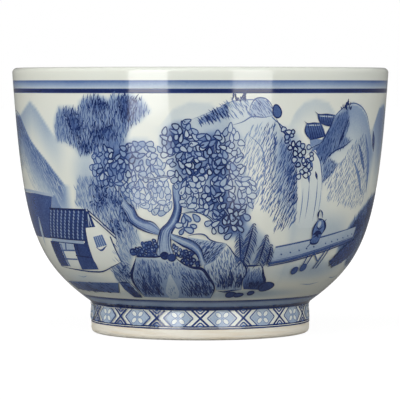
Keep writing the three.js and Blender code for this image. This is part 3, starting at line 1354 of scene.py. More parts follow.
SIDE_LEAVES = ((-36, 37.6), (-35, 39.1), (-35, 41.1), (-30, 43.2), (-26, 42), (-20, 44.5), (-16, 44.5),
    (-13.4, 43), (-11, 41.4), (-10, 38.4), (-9, 34.4), (-9, 30.6), (-12, 27.8), (-16, 29.5), (-23, 31.6),
    (-31, 35), (-35, 36.2))
UPPER_PINES = ((-49, 48.4), (-47, 50.7), (-42, 50.9), (-39, 50.1), (-38, 52), (-36, 53), (-32, 53.5),
    (-28, 52.6), (-26, 53.5), (-21, 53.5), (-17, 52.4), (-15, 50.2), (-18, 48.2), (-21, 46.9), (-22, 45.1),
    (-24, 43.2), (-30, 41.6), (-39, 40.5), (-41, 42.3), (-45, 43.5), (-49, 43.8), (-49.6, 46.3))
UPPER_HEARTS = ((-41, 48.2), (-40, 46.2), (-32, 45), (-22, 52.4), (-22, 49.6), (-31, 51.4), (-28, 46.1),
    (-36, 42.4))
MIDDLE_PINES = ((-41, 35.9), (-37, 36.3), (-33, 36.2), (-28, 35), (-23, 33.2), (-17, 32), (-19, 29.8),
    (-23, 28.9), (-21, 25.6), (-20, 22.3), (-23, 20.3), (-29, 19.7), (-29, 23.9), (-35, 27.4), (-39, 29),
    (-43, 29.7), (-42, 32.8))
LOW_BUSHES = ((-29, 19.7), (-23, 20.3), (-25, 18), (-27, 15), (-28, 13.2), (-34, 13.2), (-34, 16.5),
    (-29, 17.5))
ROOT_BUSH = ((-9, 22.4), (-6, 21.1), (-3, 20), (-0.8, 18.2), (-0.4, 16.9), (-4, 17.2), (-6, 18), (-8.4, 19))
LEFT_BUSH = ((-19, 22.4), (-14.6, 22.8), (-14.8, 19.3), (-19, 19.3), (-23, 19.2), (-24, 20.4), (-20.6, 20.8))
RIGHT_BANK = ((56, 21.4), (60, 25.4), (66, 28.4), (74, 31), (84, 31.6), (94, 29), (94, 17), (82, 14.6),
    (74, 15.4), (66, 17.4), (57, 18.6))
SHRUB = ((24.2, 47.2), (29, 46.6), (31, 43.2), (35.4, 42.4), (36.5, 39.5), (35, 35.8), (33, 34.6), (31, 36.5),
         (28.8, 40), (25.5, 43.4))


def moon_and_mist(washes: Washes) -> None:
    """Pale washes of sky, distant hills and water, and the shaded faces of the nearer mountains."""
    washes.under_ridge(FAR_PEAK, 0.26, 11.0, 1.0, 14.0)
    washes.under_ridge(((-12, 47), (-8, 50.6), (-3, 52.2), (3, 51.8), (8, 49)), 0.1, 10.0, 1.0)
    washes.under_ridge(((27, 47), (29, 50), (32, 52), (36, 52.8), (41, 52), (45, 49), (49, 46)), 0.13, 7.0,
        1.0)
    washes.under_ridge(((66, 46), (71, 50.6), (78, 51.6), (88, 47.5), (98, 41)), 0.36, 15.0, 1.0)
    for ridge in BACK_FAR_PEAKS:
        washes.under_ridge(ridge, 0.2, 10.0, 1.0)
    for centre, wide, tall, tone in (((46, 15.5), 17, 3.6, 0.22), ((24, 10.6), 16, 1.6, 0.12),
            ((-52, 13), 14, 2.6, 0.1), ((38, 26), 9, 8, 0.12), ((50, 24), 8, 6, 0.16), ((-36, 37), 7, 9,
            0.2), ((150, 16), 26, 4.5, 0.15), ((190, 21), 22, 6, 0.12), ((235, 15), 20, 4, 0.14),
            ((76, 43), 7, 12, 0.3), ((0, 10.2), 34, 1.6, 0.16)):
        washes.spot(centre, wide, tall, tone, 0.95)
    washes.area(RIGHT_FACE, 0.26, 0.9, 0.34)
    washes.area(RIGHT_NOOK, 0.28, 0.7)
    washes.area(((25, 45.6), (28.6, 41.6), (31, 35), (32, 28), (27, 27), (24, 32), (23, 40)), 0.28, 2.4, 0.12)
    washes.area(((12, 25), (17, 26), (22, 23), (26, 20), (25, 17), (13, 17)), 0.24, 2.0)
    washes.area(LOW_BUSHES, 0.32, 1.6)


def mountain_marks(canvas: Canvas) -> None:
    """The dome, knob and clefts of the nearer mountains, and the trees on their tops."""
    dome = ((14.6, 49), (14.6, 51), (16.4, 52.9), (19, 52.9), (21.2, 51.4), (21.8, 49.4))
    canvas.fill(((16.6, 52.9), (14.8, 51), (14.6, 49)), ((18.6, 52.9), (21, 51.2), (21.6, 49)), 0.3, 0.26)
    canvas.hatch([*dome], 0.42, 1.5, -52, 0.56, 0.6, 0.2, 6)
    canvas.stroke(dome, 0.28, 0.66)
    canvas.stroke([(9, 47.2), (12.6, 48), (15, 49), (19, 48.9), (21.8, 49.3)], 0.28, 0.64)
    canvas.hatch([(4, 50.6), (9, 52.7), (13.6, 53), (14.6, 49.6), (8, 48.8), (4, 47.6)], 0.44, 1.7, -52,
        0.5, 0.5, 0.19, 6)
    canvas.fill(((0.4, 48.9), (-0.6, 47.4)), ((7.6, 51.4), (8.2, 49.4)), 0.46, 0.36)
    canvas.hatch([(-1, 48.2), (3, 50), (7.6, 51.4), (8.6, 49.4), (4, 48.2), (0, 47.2)], 0.36, 1.4, -58, 0.9,
        0.8, 0.24, 6)
    canvas.loop((22.9, 50.2), 2.9, 1.9, 108, 0.3, 0.9, 0.62, 0.2)
    canvas.hatch([(22, 51.4), (24.2, 51.2), (24.2, 48.8), (22.4, 48.6)], 0.3, 0.9, 60, 0.95, 0.95, 0.22, 6,
        True)
    canvas.stroke([(22.6, 48.8), (24.6, 46.4), (26.4, 44.8), (27.8, 41.6)], 0.34, 0.82)
    for area, gap, load, low in (
        (((13, 46), (18, 48), (20, 36), (17, 29), (12, 31)), 0.62, 0.4, 0.42),
        (((19, 47), (22.6, 47.6), (24.6, 36), (24, 27), (19, 30)), 0.44, 0.6, 0.5),
        (((24.4, 44), (28.4, 42), (31, 35), (32, 25.6), (24.6, 24.6)), 0.42, 0.7, 0.66),
        (((27, 38.6), (29.8, 39), (31.6, 31), (29, 29)), 0.36, 0.9, 0.76)):
        canvas.hatch(area, gap, 1.7, -112, load, low, 0.21, 7)
    canvas.stroke([(14, 45.4), (18.4, 42.4), (19.8, 38), (19, 32)], 0.3, 0.46)
    canvas.stroke([(22, 45.4), (22.8, 43.4), (22.2, 41.6)], 0.5, 0.72)
    canvas.hatch(RIGHT_FACE, 0.5, 1.4, -112, 0.66, 0.76, 0.19, 7)
    canvas.hatch(RIGHT_NOOK, 0.5, 1.2, -112, 0.7, 0.7, 0.19, 7)
    canvas.hatch([(42, 35), (48, 39.4), (54, 43), (60, 45), (66, 40), (66, 30), (56, 28.6), (44, 31)], 0.62,
        1.5, -112, 0.5, 0.36, 0.2, 7)
    canvas.strokes(((((50.6, 48.2), (49, 46.4), (48, 44.7), (46.2, 42)), 0.62, 0.94),
        (((41, 38.2), (42, 40), (45, 41.5), (49, 42.4), (53.4, 44)), 0.34, 0.84),
        (((41, 34.6), (45, 37.2), (47.6, 38.9)), 0.3, 0.7), (((35, 42.1), (39, 43.5), (42, 46.3),
        (44, 48.8)), 0.4, 0.85), (((57, 43), (60, 39.8), (63, 36.4)), 1.2, 0.62),
        (((67, 45.6), (68, 43.4), (69, 41)), 1.5, 0.8), (((55, 39.2), (59, 36), (63, 31.6)), 1.0, 0.46),
        (((61, 45), (65, 39), (67, 32)), 1.3, 0.52)))
    for centre in ((49, 51.5), (11.4, 53.2), (221, 52), (112, 50.8)):
        for _ in range(20):
            place = (centre[0] + canvas.random.uniform(-2.2, 2.2), centre[1] + canvas.random.uniform(-1.3,
                0.2))
            canvas.dash(place, canvas.random.uniform(0.7, 1.4), canvas.random.uniform(60, 120), 0.36, 0.88)


def waterfall(canvas: Canvas) -> None:
    """The fall between the mountains: a rounded lip, dark clefts and long lines of water."""
    canvas.fill(((33.4, 41), (32.4, 36), (33, 30), (33.4, 25)), ((37, 41.8), (40.4, 37.5), (41, 32),
        (41.6, 25)), 0.04, 0.10)
    canvas.stroke([(33.4, 40.4), (36, 41.6), (38.4, 40.2), (40.2, 36.8), (41, 33)], 0.3, 0.6)
    for top, low, load in (((35.4, 39.6), (36.4, 38), 0.5), ((34.6, 37.6), (35.6, 34.6), 0.62),
            ((37.6, 37.2), (38.6, 35.4), 0.9)):
        canvas.stroke([top, between(top, low, 0.5), low], 0.62, load)
    for top, foot, load in (((33.4, 33.6), 26, 0.42), ((35.6, 35), 27, 0.46), ((38.8, 35.6), 26.4, 0.5),
            ((40.6, 33.6), 28, 0.3)):
        canvas.stroke([top, (top[0] + 0.2, (top[1] + foot) / 2), (top[0], foot)], 0.24, load)


def village(canvas: Canvas) -> None:
    """The cottage among the trees on the left, with a second roof behind it."""
    canvas.fill(((-90, 31.8), (-86, 22)), ((-54.6, 31.9), (-60, 22)), 0.7, 0.74)
    canvas.fill(((-54.6, 31.9), (-56, 28.8)), ((-53, 31.6), (-50.4, 29)), 0.4)
    canvas.stroke([(-90, 32.2), (-72, 32.3), (-54, 31.7)], 0.62, 0.24, Taper.NONE)
    canvas.stroke([(-68, 26.6), (-69.4, 23), (-71, 20)], 1.3, 0.2)
    Roof((-57.6, 28.7), (-39, 28.8), (-62.6, 22.2), (-42.2, 22.1), 0.84, 9, 9).draw(canvas)
    canvas.fill(((-40, 28.7), (-42.6, 21.4)), ((-38, 28.5), (-40.6, 21.6)), 0.88)
    canvas.fill(((-63.6, 21.4), (-65, 15.7)), ((-57, 21.4), (-58, 15.9)), 0.86, 0.8)
    canvas.fill(((-57, 21.4), (-58, 15.9)), ((-48.6, 21.3), (-50, 15.6)), 0.03)
    canvas.fill(((-56.6, 21.3), (-57, 19.6)), ((-48.8, 21.2), (-49.2, 19.8)), 0.24)
    canvas.fill(((-48.6, 21.4), (-50, 15.4)), ((-41, 21.6), (-40.6, 15.7)), 0.88, 0.72)
    canvas.strokes(((((-53, 21.2), (-54.2, 19.7)), 0.5, 0.6), (((-56.4, 21), (-57.2, 15.9)), 0.7, 0.5),
        (((-57.4, 19.5), (-49, 19.7)), 0.34, 0.62), (((-57.6, 17.6), (-49.6, 17.7)), 0.34, 0.62),
        (((-49.6, 18.6), (-41.4, 18.3)), 0.3, 0.98), (((-47, 21), (-47.4, 18.8)), 0.3, 0.98),
        (((-62, 21.8), (-43, 21.6)), 0.6, 0.26), (((-62.4, 21.4), (-43, 21.2)), 0.24, 0.8)), Taper.NONE,
        False)
    canvas.fill(((-39.6, 26.6), (-40.6, 24.4), (-41, 21.1), (-41, 17.6), (-39.6, 15.6)),
                ((-35.2, 25.8), (-31, 23.2), (-30, 20.5), (-28.9, 17.7), (-33, 16.7)), 0.0)
    canvas.stroke([(-65, 15.6), (-54, 15.3), (-44, 15.1), (-39, 15.3), (-33, 16.6), (-28.8, 17.7)], 0.32,
        0.82)
    canvas.stroke([(-31, 23.2), (-30, 20.5), (-28.8, 17.6)], 0.32, 0.8, Taper.NONE)
    canvas.fill(((-38.6, 28.6), (-40.4, 24.9)), ((-38, 28.6), (-36.2, 25.2)), 0.84)
    for share in (0.25, 0.6):
        canvas.stroke([(-38.4, 28), between((-39.6, 25.2), (-36.6, 25.4), share)], 0.2, 0.2, Taper.NONE,
            False)
    for drop in (0.0, 0.8):
        canvas.stroke([(-38.6, 29 - drop), (-33.8, 26.5 - drop), (-28.8, 23.6 - drop)], 0.28, 0.88,
            Taper.NONE)
    canvas.fill(((-38, 23), (-37.6, 20.6)), ((-34, 23.6), (-33, 21.3)), 0.5)
    for share in (0.2, 0.4, 0.6, 0.8):
        canvas.stroke([between((-38, 23), (-34, 23.6), share), between((-37.6, 20.6), (-33, 21.3), share)],
            0.16, 0.24, Taper.NONE, False)
    canvas.stroke([(-37.8, 20.7), (-36.4, 20.1), (-33, 21.2)], 0.4, 0.74)
    canvas.hatch([(-31.6, 19.6), (-30.2, 20), (-29, 17.8), (-32.6, 17)], 0.8, 1.6, -48, 0.4, 0.4)
    pavilion(canvas, 32.0, 1.0)
    pavilion(canvas, 164.0, -6.0)


def pavilion(canvas: Canvas, left: float, rise: float) -> None:
    """Two stepped roofs half hidden by a mountain.

    Args:
        canvas: Where they are painted.
        left: Azimuth of the left end.
        rise: How far up the wall they are moved, in mm.
    """
    def there(*places: Place) -> list[Place]:
        """Moves places with the pavilion."""
        return [(left + u, rise + z) for u, z in places]

    canvas.fill(there((2.4, 43.4), (3, 41.4)), there((7.6, 43), (6.4, 42.2)), 0.4)
    for corners, tiles in (
        ((((1, 46.6), (0.6, 45), (2.6, 43)), ((6.4, 46.6), (7.6, 45.4), (8.6, 43.8))), 7),
        ((((4.8, 48.6), (5.6, 47.2), (6, 46.6)), ((12, 48.3), (11, 46.9), (10.4, 45.8))), 8)):
        edge_left, edge_right = there(*corners[0]), there(*corners[1])
        canvas.fill(edge_left, edge_right, 0.56, 0.76)
        for tile in range(tiles):
            share = (tile + 0.5) / tiles
            canvas.stroke([between(edge_left[0], edge_right[0], share), between(edge_left[-1],
                edge_right[-1], share)], 0.2, 0.95, Taper.NONE, False)
        canvas.stroke(edge_left, 0.3, 0.9)
        canvas.stroke([edge_left[-1], edge_right[-1]], 0.3, 0.9)
        canvas.stroke([(edge_left[0][0] - 0.9, edge_left[0][1] + 0.5), edge_left[0], between(edge_left[0],
            edge_right[0], 0.5), edge_right[0]], 0.34, 0.86)
        canvas.stroke([(u, z - 0.45) for u, z in (edge_left[0], edge_right[0])], 0.26, 0.2)


def bridge(canvas: Canvas) -> None:
    """The plank bridge on the right, its rail and trestle, and a small robed walker on it."""
    rail = ((26, 21), (36, 22), (46, 23), (55, 23.9), (64, 24.6))
    deck = ((24.6, 17.4), (34, 18.3), (44, 19.6), (54, 20.9), (64, 22))
    canvas.fill((rail[0], deck[0]), (rail[-1], deck[-1]), 0.2, 0.28)
    canvas.stroke(rail, 0.36, 0.66, Taper.END)
    canvas.stroke([(u, z + 0.5) for u, z in deck], 0.28, 0.6)
    canvas.stroke(deck, 0.62, 0.66, Taper.NONE)
    canvas.stroke([(u, z - 0.55) for u, z in deck], 0.26, 0.78, Taper.NONE)
    for share in (0.08, 0.17, 0.26, 0.34, 0.42, 0.56, 0.64, 0.72, 0.8, 0.88, 0.95):
        place = between(between(rail[0], rail[-1], share), between(deck[0], deck[-1], share), 0.5)
        canvas.dash(place, 0.6, -30, 0.36, 0.66)
    for top, low in (((40.6, 19.2), (39.6, 16.2)), ((43, 19.4), (41.4, 16.4)), ((48.8, 20), (46, 15.8)),
            ((50.6, 20.2), (47.6, 15.8))):
        canvas.stroke([top, low], 0.34, 0.7, Taper.NONE, False)
    canvas.stroke([(43, 19.4), (46.6, 17.4), (49, 20)], 0.3, 0.6, Taper.NONE, False)
    for centre in ((37, 15.6), (40.6, 16.2)):
        canvas.loop(centre, 1.7, 1.6, 0, 0.2, 0.78, 0.68, 0)
    canvas.fill(((40.9, 26.6), (40, 25.6), (39.8, 24.4), (40, 23.2), (39.8, 21.7)),
                ((43.1, 26.6), (44.2, 25.9), (45, 25), (44.2, 23.4), (43, 21.5)), 0.46, 0.6)
    canvas.strokes(((((41, 27), (40.7, 28), (41.2, 28.9)), 0.5, 0.95), (((41.2, 28.9), (42.4, 28.2),
        (42.8, 27)), 0.3, 0.75), (((40.8, 26.9), (43.2, 26.7)), 0.4, 0.85),
        (((43, 26.8), (44.4, 25.9), (45, 24.9), (44.3, 23.6)), 0.62, 0.98),
        (((41, 26.6), (40, 25.4), (39.7, 24), (40, 23)), 0.42, 0.9),
        (((40, 23.4), (41.8, 23.9), (44.2, 23.5)), 0.9, 1.0), (((40.6, 22.8), (42, 23.3), (43, 22.6)), 0.5,
        0.95), (((40.8, 25.3), (42.4, 24.6), (43.8, 25.2)), 0.34, 0.9),
        (((40, 23), (39.7, 21.7), (41.4, 21.4), (43, 21.6), (43.8, 23)), 0.4, 0.92),
        (((44, 26.1), (44.9, 26.8)), 0.26, 0.7), (((40.6, 22), (38.4, 20.4)), 0.26, 0.7)))
    canvas.loop((42, 25.7), 1.5, 1.0, 80, 0.0, 0.5, 0.2, 0)


def great_tree(canvas: Canvas) -> None:
    """Boughs of the great tree that show between its leaves."""
    for points, width, load in ((((-6.4, 33.8), (-3, 35.3), (1, 37.6), (3.4, 38.6)), 0.9, 0.8),
            (((3.4, 38.6), (4.4, 40.6), (4, 43.6)), 0.5, 0.9), (((-3.6, 35.4), (-4, 39.4), (-4, 41.4),
            (-3, 43.6)), 0.8, 0.8), (((-7, 34), (-10, 36.3), (-15, 35.8), (-20, 36.8)), 0.5, 0.86),
            (((-6.4, 28.4), (0, 28.7), (2.4, 27.8), (7, 24.6)), 0.56, 0.96),
            (((3.6, 35.6), (5, 31.8), (8, 29), (11, 25.6)), 0.5, 0.96), (((-10, 29.6), (-14, 31), (-16, 34),
            (-15, 37)), 0.4, 0.7)):
        canvas.stroke(points, width, load)
        canvas.stroke(points, width * 0.34, 0.3, lift=canvas.level + canvas.LEAF)


def great_rock(canvas: Canvas) -> None:
    """The big rock under the great tree, with a pale tongue of stone in its middle."""
    left = ((-14, 19.1), (-22.6, 18.8), (-24.4, 16.8), (-26.2, 15), (-26.8, 13), (-26, 11.4), (-25, 9.8))
    right = ((-9, 19), (-6, 17.6), (-3, 16.8), (0.6, 16.4), (3, 14.6), (5.6, 12), (4.4, 9.7))
    canvas.fill(left, right, 0.12, 0.4)
    for area, gap, length, angle, load, low in ((((-24, 17.4), (-21, 18.7), (-15, 18.7), (-14.4, 14),
            (-15.6, 9.8), (-25, 9.8), (-26.6, 13)), 0.36, 1.3, -86, 0.46, 0.95),
            (((-21, 14.6), (-16.6, 14), (-15.6, 9.8), (-24.6, 9.8), (-25, 12)), 0.3, 1.1, -80, 0.8, 1.0),
            (((-14, 18.2), (-7.4, 18.2), (-5, 15.4), (-8, 13.6), (-12, 14.4), (-14.6, 13)), 0.62, 0.9, -78,
            0.5, 0.6), (((-6.4, 17), (0, 16.2), (3.6, 14), (5.6, 11), (4, 9.8), (-8, 9.8), (-8, 12.5)),
            0.36, 1.2, -66, 0.5, 0.98), (((-3, 13.2), (4.4, 13.2), (5.6, 11), (4, 9.8), (-6, 9.8)), 0.27,
            1.0, -72, 0.9, 1.0)):
        canvas.hatch(area, gap, length, angle, load, low, 0.22, 12, True)
    canvas.strokes(((((-18.6, 17.6), (-18.8, 15.4), (-20.2, 12.4)), 0.62, 0.8),
        (((-21.4, 15), (-22.6, 12.6), (-23.6, 10.6)), 0.7, 0.9), (((-16.6, 13.4), (-17.6, 11.6),
        (-18, 10.2)), 0.7, 0.9), (((-7.4, 15.6), (-5.2, 14), (-4, 12.6)), 0.4, 0.8),
        (((-1, 15.6), (1, 13.6), (1.6, 11.6)), 0.4, 0.8)))
    canvas.fill(((-11.4, 15.2), (-13.2, 12.8), (-14.6, 11), (-13.2, 9.5)), ((-11, 15.2), (-9.4, 12.8),
        (-8.6, 11), (-9.8, 9.5)), 0.18, 0.26)
    canvas.hatch(((-12.6, 13), (-10, 13), (-9.2, 10.2), (-13.6, 10.2)), 0.62, 0.7, -84, 0.45, 0.5, 0.17, 9,
        True)
    canvas.stroke([*left[1:]], 0.62, 0.98)
    canvas.stroke([(-23, 18.9), (-19, 19.1), (-15, 19.1), (-11.6, 19.3)], 0.6, 0.98)
    canvas.stroke([(-8.6, 19), *right[1:]], 0.66, 0.98)
    for centre, size, load in (((-23.2, 20), 1.6, 0.8), ((-12.2, 19.3), 1.7, 1.0), ((-9.8, 18.9), 1.7, 0.86)):
        canvas.loop(centre, size, size * 0.9, 20, 0.3, load, load * 0.9, 0)
    canvas.fill(((-33.4, 12.9), (-33, 11.4), (-30.4, 9.6)), ((-28.4, 12.9), (-26.6, 11.6), (-26.4, 9.6)),
        0.6, 0.92)
    canvas.hatch(((-33.4, 12.8), (-28, 12.8), (-26.6, 9.8), (-31, 9.8)), 0.3, 1.0, -50, 0.85, 1.0, 0.26, 9,
        True)
    canvas.stroke([(-28.8, 12.8), (-27.6, 11.6), (-26.4, 10.2)], 0.5, 0.24)
    canvas.stroke([(-34, 13), (-28.4, 13)], 0.4, 0.9)


def right_rocks(canvas: Canvas) -> None:
    """Clefts, shaded patches and outlines on the rocks to the right of the big one."""
    for area, gap, angle, load in (
        (((9, 15.8), (12.2, 15.4), (12.6, 11.8), (8.4, 11.8)), 0.28, -76, 0.92),
        (((13.2, 15.4), (16.6, 15.4), (16.2, 12), (13.2, 11.8)), 0.3, -82, 0.9),
        (((6.4, 14.4), (8.4, 13.6), (8.6, 11.8), (6.4, 11.8)), 0.3, -76, 0.85),
        (((17.6, 13.6), (24.6, 14), (25.4, 11.6), (18, 11.8)), 0.26, -86, 1.0)):
        canvas.hatch(area, gap, 1.0, angle, load, load, 0.24, 10, True)
    canvas.strokes(((((-4.4, 23.6), (-1, 24.1), (1.4, 23.9), (3, 22.9), (5, 22.4), (8.2, 22.1)), 0.28,
        0.72), (((8.4, 22), (10, 20.9), (12, 19.3), (15, 17.8), (17, 15.6), (16.2, 13.7), (16.8, 11.7)),
        0.36, 0.9), (((6.4, 11.5), (10, 11.2), (13, 11.5), (16.8, 11.6)), 0.36, 0.85),
        (((6.6, 15.8), (8.4, 13.8), (9, 11.8)), 0.42, 0.88), (((10.2, 16.8), (12, 14.4), (12.5, 12)), 0.42,
        0.92), (((15, 17), (22, 17.1)), 0.4, 0.92), (((15, 19), (15.2, 17)), 0.36, 0.9),
        (((22.6, 17), (24, 14.8), (25.6, 13.4), (25.4, 11.4)), 0.6, 0.95)))


def low_marks(canvas: Canvas) -> None:
    """Stones at the water's edge, the near shore and lines of still water."""
    great_rock(canvas)
    right_rocks(canvas)
    shore = ((-70, 12), (-58, 12.6), (-47, 12.8), (-34, 12.9), (-38, 10.5), (-53, 10), (-66, 10.4))
    canvas.fill(((-72, 12.2), (-68, 10.4)), ((-34, 12.9), (-37, 10.5)), 0.56, 0.66)
    canvas.hatch(shore, 0.5, 1.7, -24, 0.7, 0.95, 0.3, 8, True)
    for centre, long, short in (((13, 10.5), 2.4, 1.2), ((16.4, 10.4), 2.2, 0.9), ((21.6, 10.8), 1.6, 0.9),
            ((27.4, 12.2), 3.6, 2.0), ((128, 12), 5, 2.4), ((134, 11), 3, 1.4), ((206, 11.6), 4.4, 2),
            ((262, 12), 6, 2.2)):
        canvas.loop(centre, long, short, 4, 0.24, 0.95, 0.78, 0.2)
    bank = ((54, 17.1), (56, 18.7), (60.5, 20.5), (67, 21.8), (72, 19.4), (67, 17.2), (62, 16.1), (58, 15.8))
    canvas.fill(bank[:4], bank[:3:-1], 0.7, 0.8)
    canvas.hatch(bank, 0.45, 1.4, 40, 0.8, 0.95, 0.3, 10)
    for centre, wide in (((50, 12.4), 12), ((66, 13.4), 9), ((150, 13), 14), ((166, 15.5), 10),
            ((180, 12), 12), ((192, 17.6), 9), ((218, 12.6), 9), ((-52, 14), 6), ((240, 13.5), 9)):
        canvas.stroke([(centre[0] - wide / 2, centre[1]), (centre[0], centre[1] - 0.25),
            (centre[0] + wide / 2, centre[1] + 0.1)], 0.2, 0.3)
    for foot in ((172, 12.4), (176, 12.9), (179, 12.3), (199, 13.1), (203, 13.6)):
        for angle in (68, 80, 94, 108):
            canvas.dash(foot, canvas.random.uniform(2.6, 4.6), angle, 0.2, 0.7, 0.12, Taper.END)


LANDSCAPE = (
    Scenery("mountains", Layer.HILLS, (
        Mountain(LEFT_RIDGE, 0.56, 14, 0.42, 0.5, 12, -60, 0.6),
        Mountain(CENTRE_RIDGE, 0.15, 22, 0.56, 0.0),
        Mountain(RIGHT_RIDGE, 0.32, 16, 0.62, 0.0),
        Mountain(BACK_RIDGES[0], 0.4, 18, 0.6, 0.42, 14, -66, 0.75),
        Mountain(BACK_RIDGES[1], 0.3, 13, 0.5, 0.36, 9, -72, 0.85),
        Mountain(BACK_RIDGES[2], 0.42, 18, 0.6, 0.42, 14, -110, 0.75),
    ), mountain_marks, moon_and_mist, 3, ("landscape_frieze",)),
    Scenery("waterfall", Layer.BUILDINGS, (), waterfall, None, 5),
    Scenery("buildings", Layer.BUILDINGS, (), village, None, 7),
    Scenery("pines", Layer.PINES, (
        PineMass(UPPER_PINES, UPPER_HEARTS, 0.6, 0.95, 86),
        PineMass(MIDDLE_PINES, ((-33, 33.5), (-30, 31.6), (-33, 30), (-26, 30.4), (-24, 27.6), (-28, 25)),
            0.4, 0.72, 100),
        PineMass(LOW_BUSHES, ((-29, 15),), 0.4, 0.7, 116),
        PineMass(RIGHT_BANK, ((66, 24), (76, 27), (84, 22)), 0.8, 0.98, 80, 5.0),
        PineMass(((140, 34), (146, 38.5), (153, 37), (158, 33), (163, 29), (160, 24), (150, 23), (141, 27)),
                 ((147, 34), (155, 30), (148, 27)), 0.46, 0.8),
        PineMass(((95, 26), (103, 29), (112, 27), (118, 22.5), (112, 18), (98, 17)), ((103, 25), (110, 22)),
            0.5, 0.86),
        PineMass(((244, 33), (252, 36), (262, 34), (266, 27), (258, 22), (247, 24)), ((252, 31), (259, 27)),
            0.46, 0.8),
    ), None, None, 11),
    Scenery("leaves", Layer.TREES, (
        LeafMass(SIDE_LEAVES, ((-28, 38), (-22, 40), (-27, 41)), 5.5, 0.4, 0.86, 0.56, 0.2),
        Trunk(((-8.6, 34.6), (-8.4, 32.2), (-8.2, 29.2), (-10, 26.7), (-13, 24.6), (-14, 22.6), (-15, 19.1)),
              ((-5.6, 34.6), (-6, 32.2), (-6, 29.2), (-7.2, 26.5), (-9.2, 24.4), (-9.8, 21.8),
                  (-8.8, 19.1)), 0.26),
        Trunk(((3, 39.2), (0, 38), (-4, 36.2), (-8, 34.9)), ((3.6, 38.2), (1, 37), (-2.6, 35.2),
            (-5.6, 33.2)), 0.3),
        LeafMass(CROWN, CROWN_HEARTS, 4.2, 0.7, 1.0, 0.68),
        LeafMass(LOWER_LEAVES, ((-4, 26.5),), 3, 0.1, 0.75, 0.62),
        LeafMass(SHRUB, ((31, 40), (28, 43)), 4, 0.24, 0.95, 0.8, 0.1, 0.28, 1.4, 1.15, 1.4, 1.2),
        LeafMass(((207, 33), (212, 38), (219, 40.5), (227, 39), (231, 33), (228, 26), (218, 24), (209, 27)),
                 ((216, 34), (222, 30), (221, 36)), 4.5),
        LeafMass(((118, 30), (123, 34.5), (131, 33.5), (134, 28), (129, 23.5), (120, 24)), ((126, 29),),
            4.5, 0.44),
    ), great_tree, None, 13),
    Scenery("rocks", Layer.ROCKS, (
        Rock(((-4, 23.4), (-2, 20.4), (0.5, 17.2)), ((8.4, 22), (10.4, 20.4), (9, 17.4)), 0.22, 0.36, 0.5,
            50, 0.34,
             0.56),
        Rock(((8.4, 21.4), (4.6, 18.2), (1.4, 17), (2.6, 15.4), (6, 12.6), (6.4, 11.6)),
             ((8.9, 21.6), (12, 19.3), (15, 17.8), (17, 15.6), (16.2, 13.6), (16.8, 11.6)), 0.06, 0.3, 0.5,
                 104, 0.46, 0.46),
        Rock(((16, 16.7), (17, 15.4), (16.8, 13), (17.8, 11.7)), ((22.6, 16.8), (24, 14.8), (25.7, 13.4),
            (25.4, 11.4)),
             0.08, 0.8, 0.6, 88, 0.32, 0.5),
        Rock(((140, 18.6), (136, 14), (137, 10.4)), ((148, 19), (154, 15), (155, 10.6)), 0.2, 0.9, 0.85, 76),
        Rock(((148, 16), (150, 13), (151, 10.2)), ((158, 16.6), (163, 13), (164, 10.6)), 0.1, 0.75, 0.8, 70),
        Rock(((212, 17.6), (208, 14), (209, 10.2)), ((221, 19), (229, 15), (230, 10.4)), 0.2, 0.92, 0.88, 76),
        Rock(((228, 15), (230, 12.6), (231, 10.2)), ((236, 15.4), (241, 13), (242, 10.4)), 0.08, 0.7, 0.75,
            70),
    ), low_marks, None, 17),
    Scenery("small_trees", Layer.FIGURES, (
        LeafMass(ROOT_BUSH, ((-4, 19), (-1.4, 18)), 2.0, 0.2, 1.0, 0.85, 0.36, 0.3, 0.95, 0.7, 0.85, 0.66),
        LeafMass(LEFT_BUSH, ((-17, 21), (-20, 20)), 2.4, 0.2, 0.92, 0.8, 0.36, 0.26, 0.95, 0.7, 0.85, 0.66),
        Trunk(((-9.6, 24.2), (-6, 23.4), (-2, 22.3), (0, 21), (1.2, 18.9), (2, 17.6)),
              ((-9.6, 23), (-6, 21.6), (-3, 20.6), (-1, 19.3), (-0.4, 18.2), (0.2, 17)), 0.2, 0.95, 0.4, 0.5),
        Trunk(((-13, 25.1), (-15, 26.5), (-18, 27), (-20, 27.8), (-21, 29.3), (-23, 30.6), (-24, 31.4)),
              ((-13.6, 23.8), (-18, 24.6), (-21, 25.6), (-23, 26.7), (-24, 28.4), (-25, 29.7),
                  (-25.4, 30.1)), 0.26, 0.92,
              0.38, 0.6),
        FeatherTree((12.6, 24.4), (14, 18), 1.8, 0.66),
        FeatherTree((17.2, 26.2), (15, 17.4), 2.5, 0.72),
        FeatherTree((22, 23.7), (20.6, 17.2), 2.2, 0.74),
        FeatherTree((24.2, 21.6), (24, 17), 1.5, 0.82),
        Trunk(((218, 28), (216.4, 22), (214.4, 18)), ((219.6, 28), (219, 22), (219.4, 18)), 0.4, 0.9, 0.4),
        Trunk(((125, 26), (124, 21), (122.6, 17)), ((126.2, 26), (126, 21), (126.4, 17)), 0.4, 0.9, 0.36),
        FeatherTree((106, 25), (107, 15), 2.6),
        FeatherTree((160, 22), (160.6, 14), 2.3),
        FeatherTree((238, 21), (238, 14), 2.2),
    ), None, None, 19),
    Scenery("bridge", Layer.FIGURES, (), bridge, None, 23),
)


# ---- The cup's pieces ----


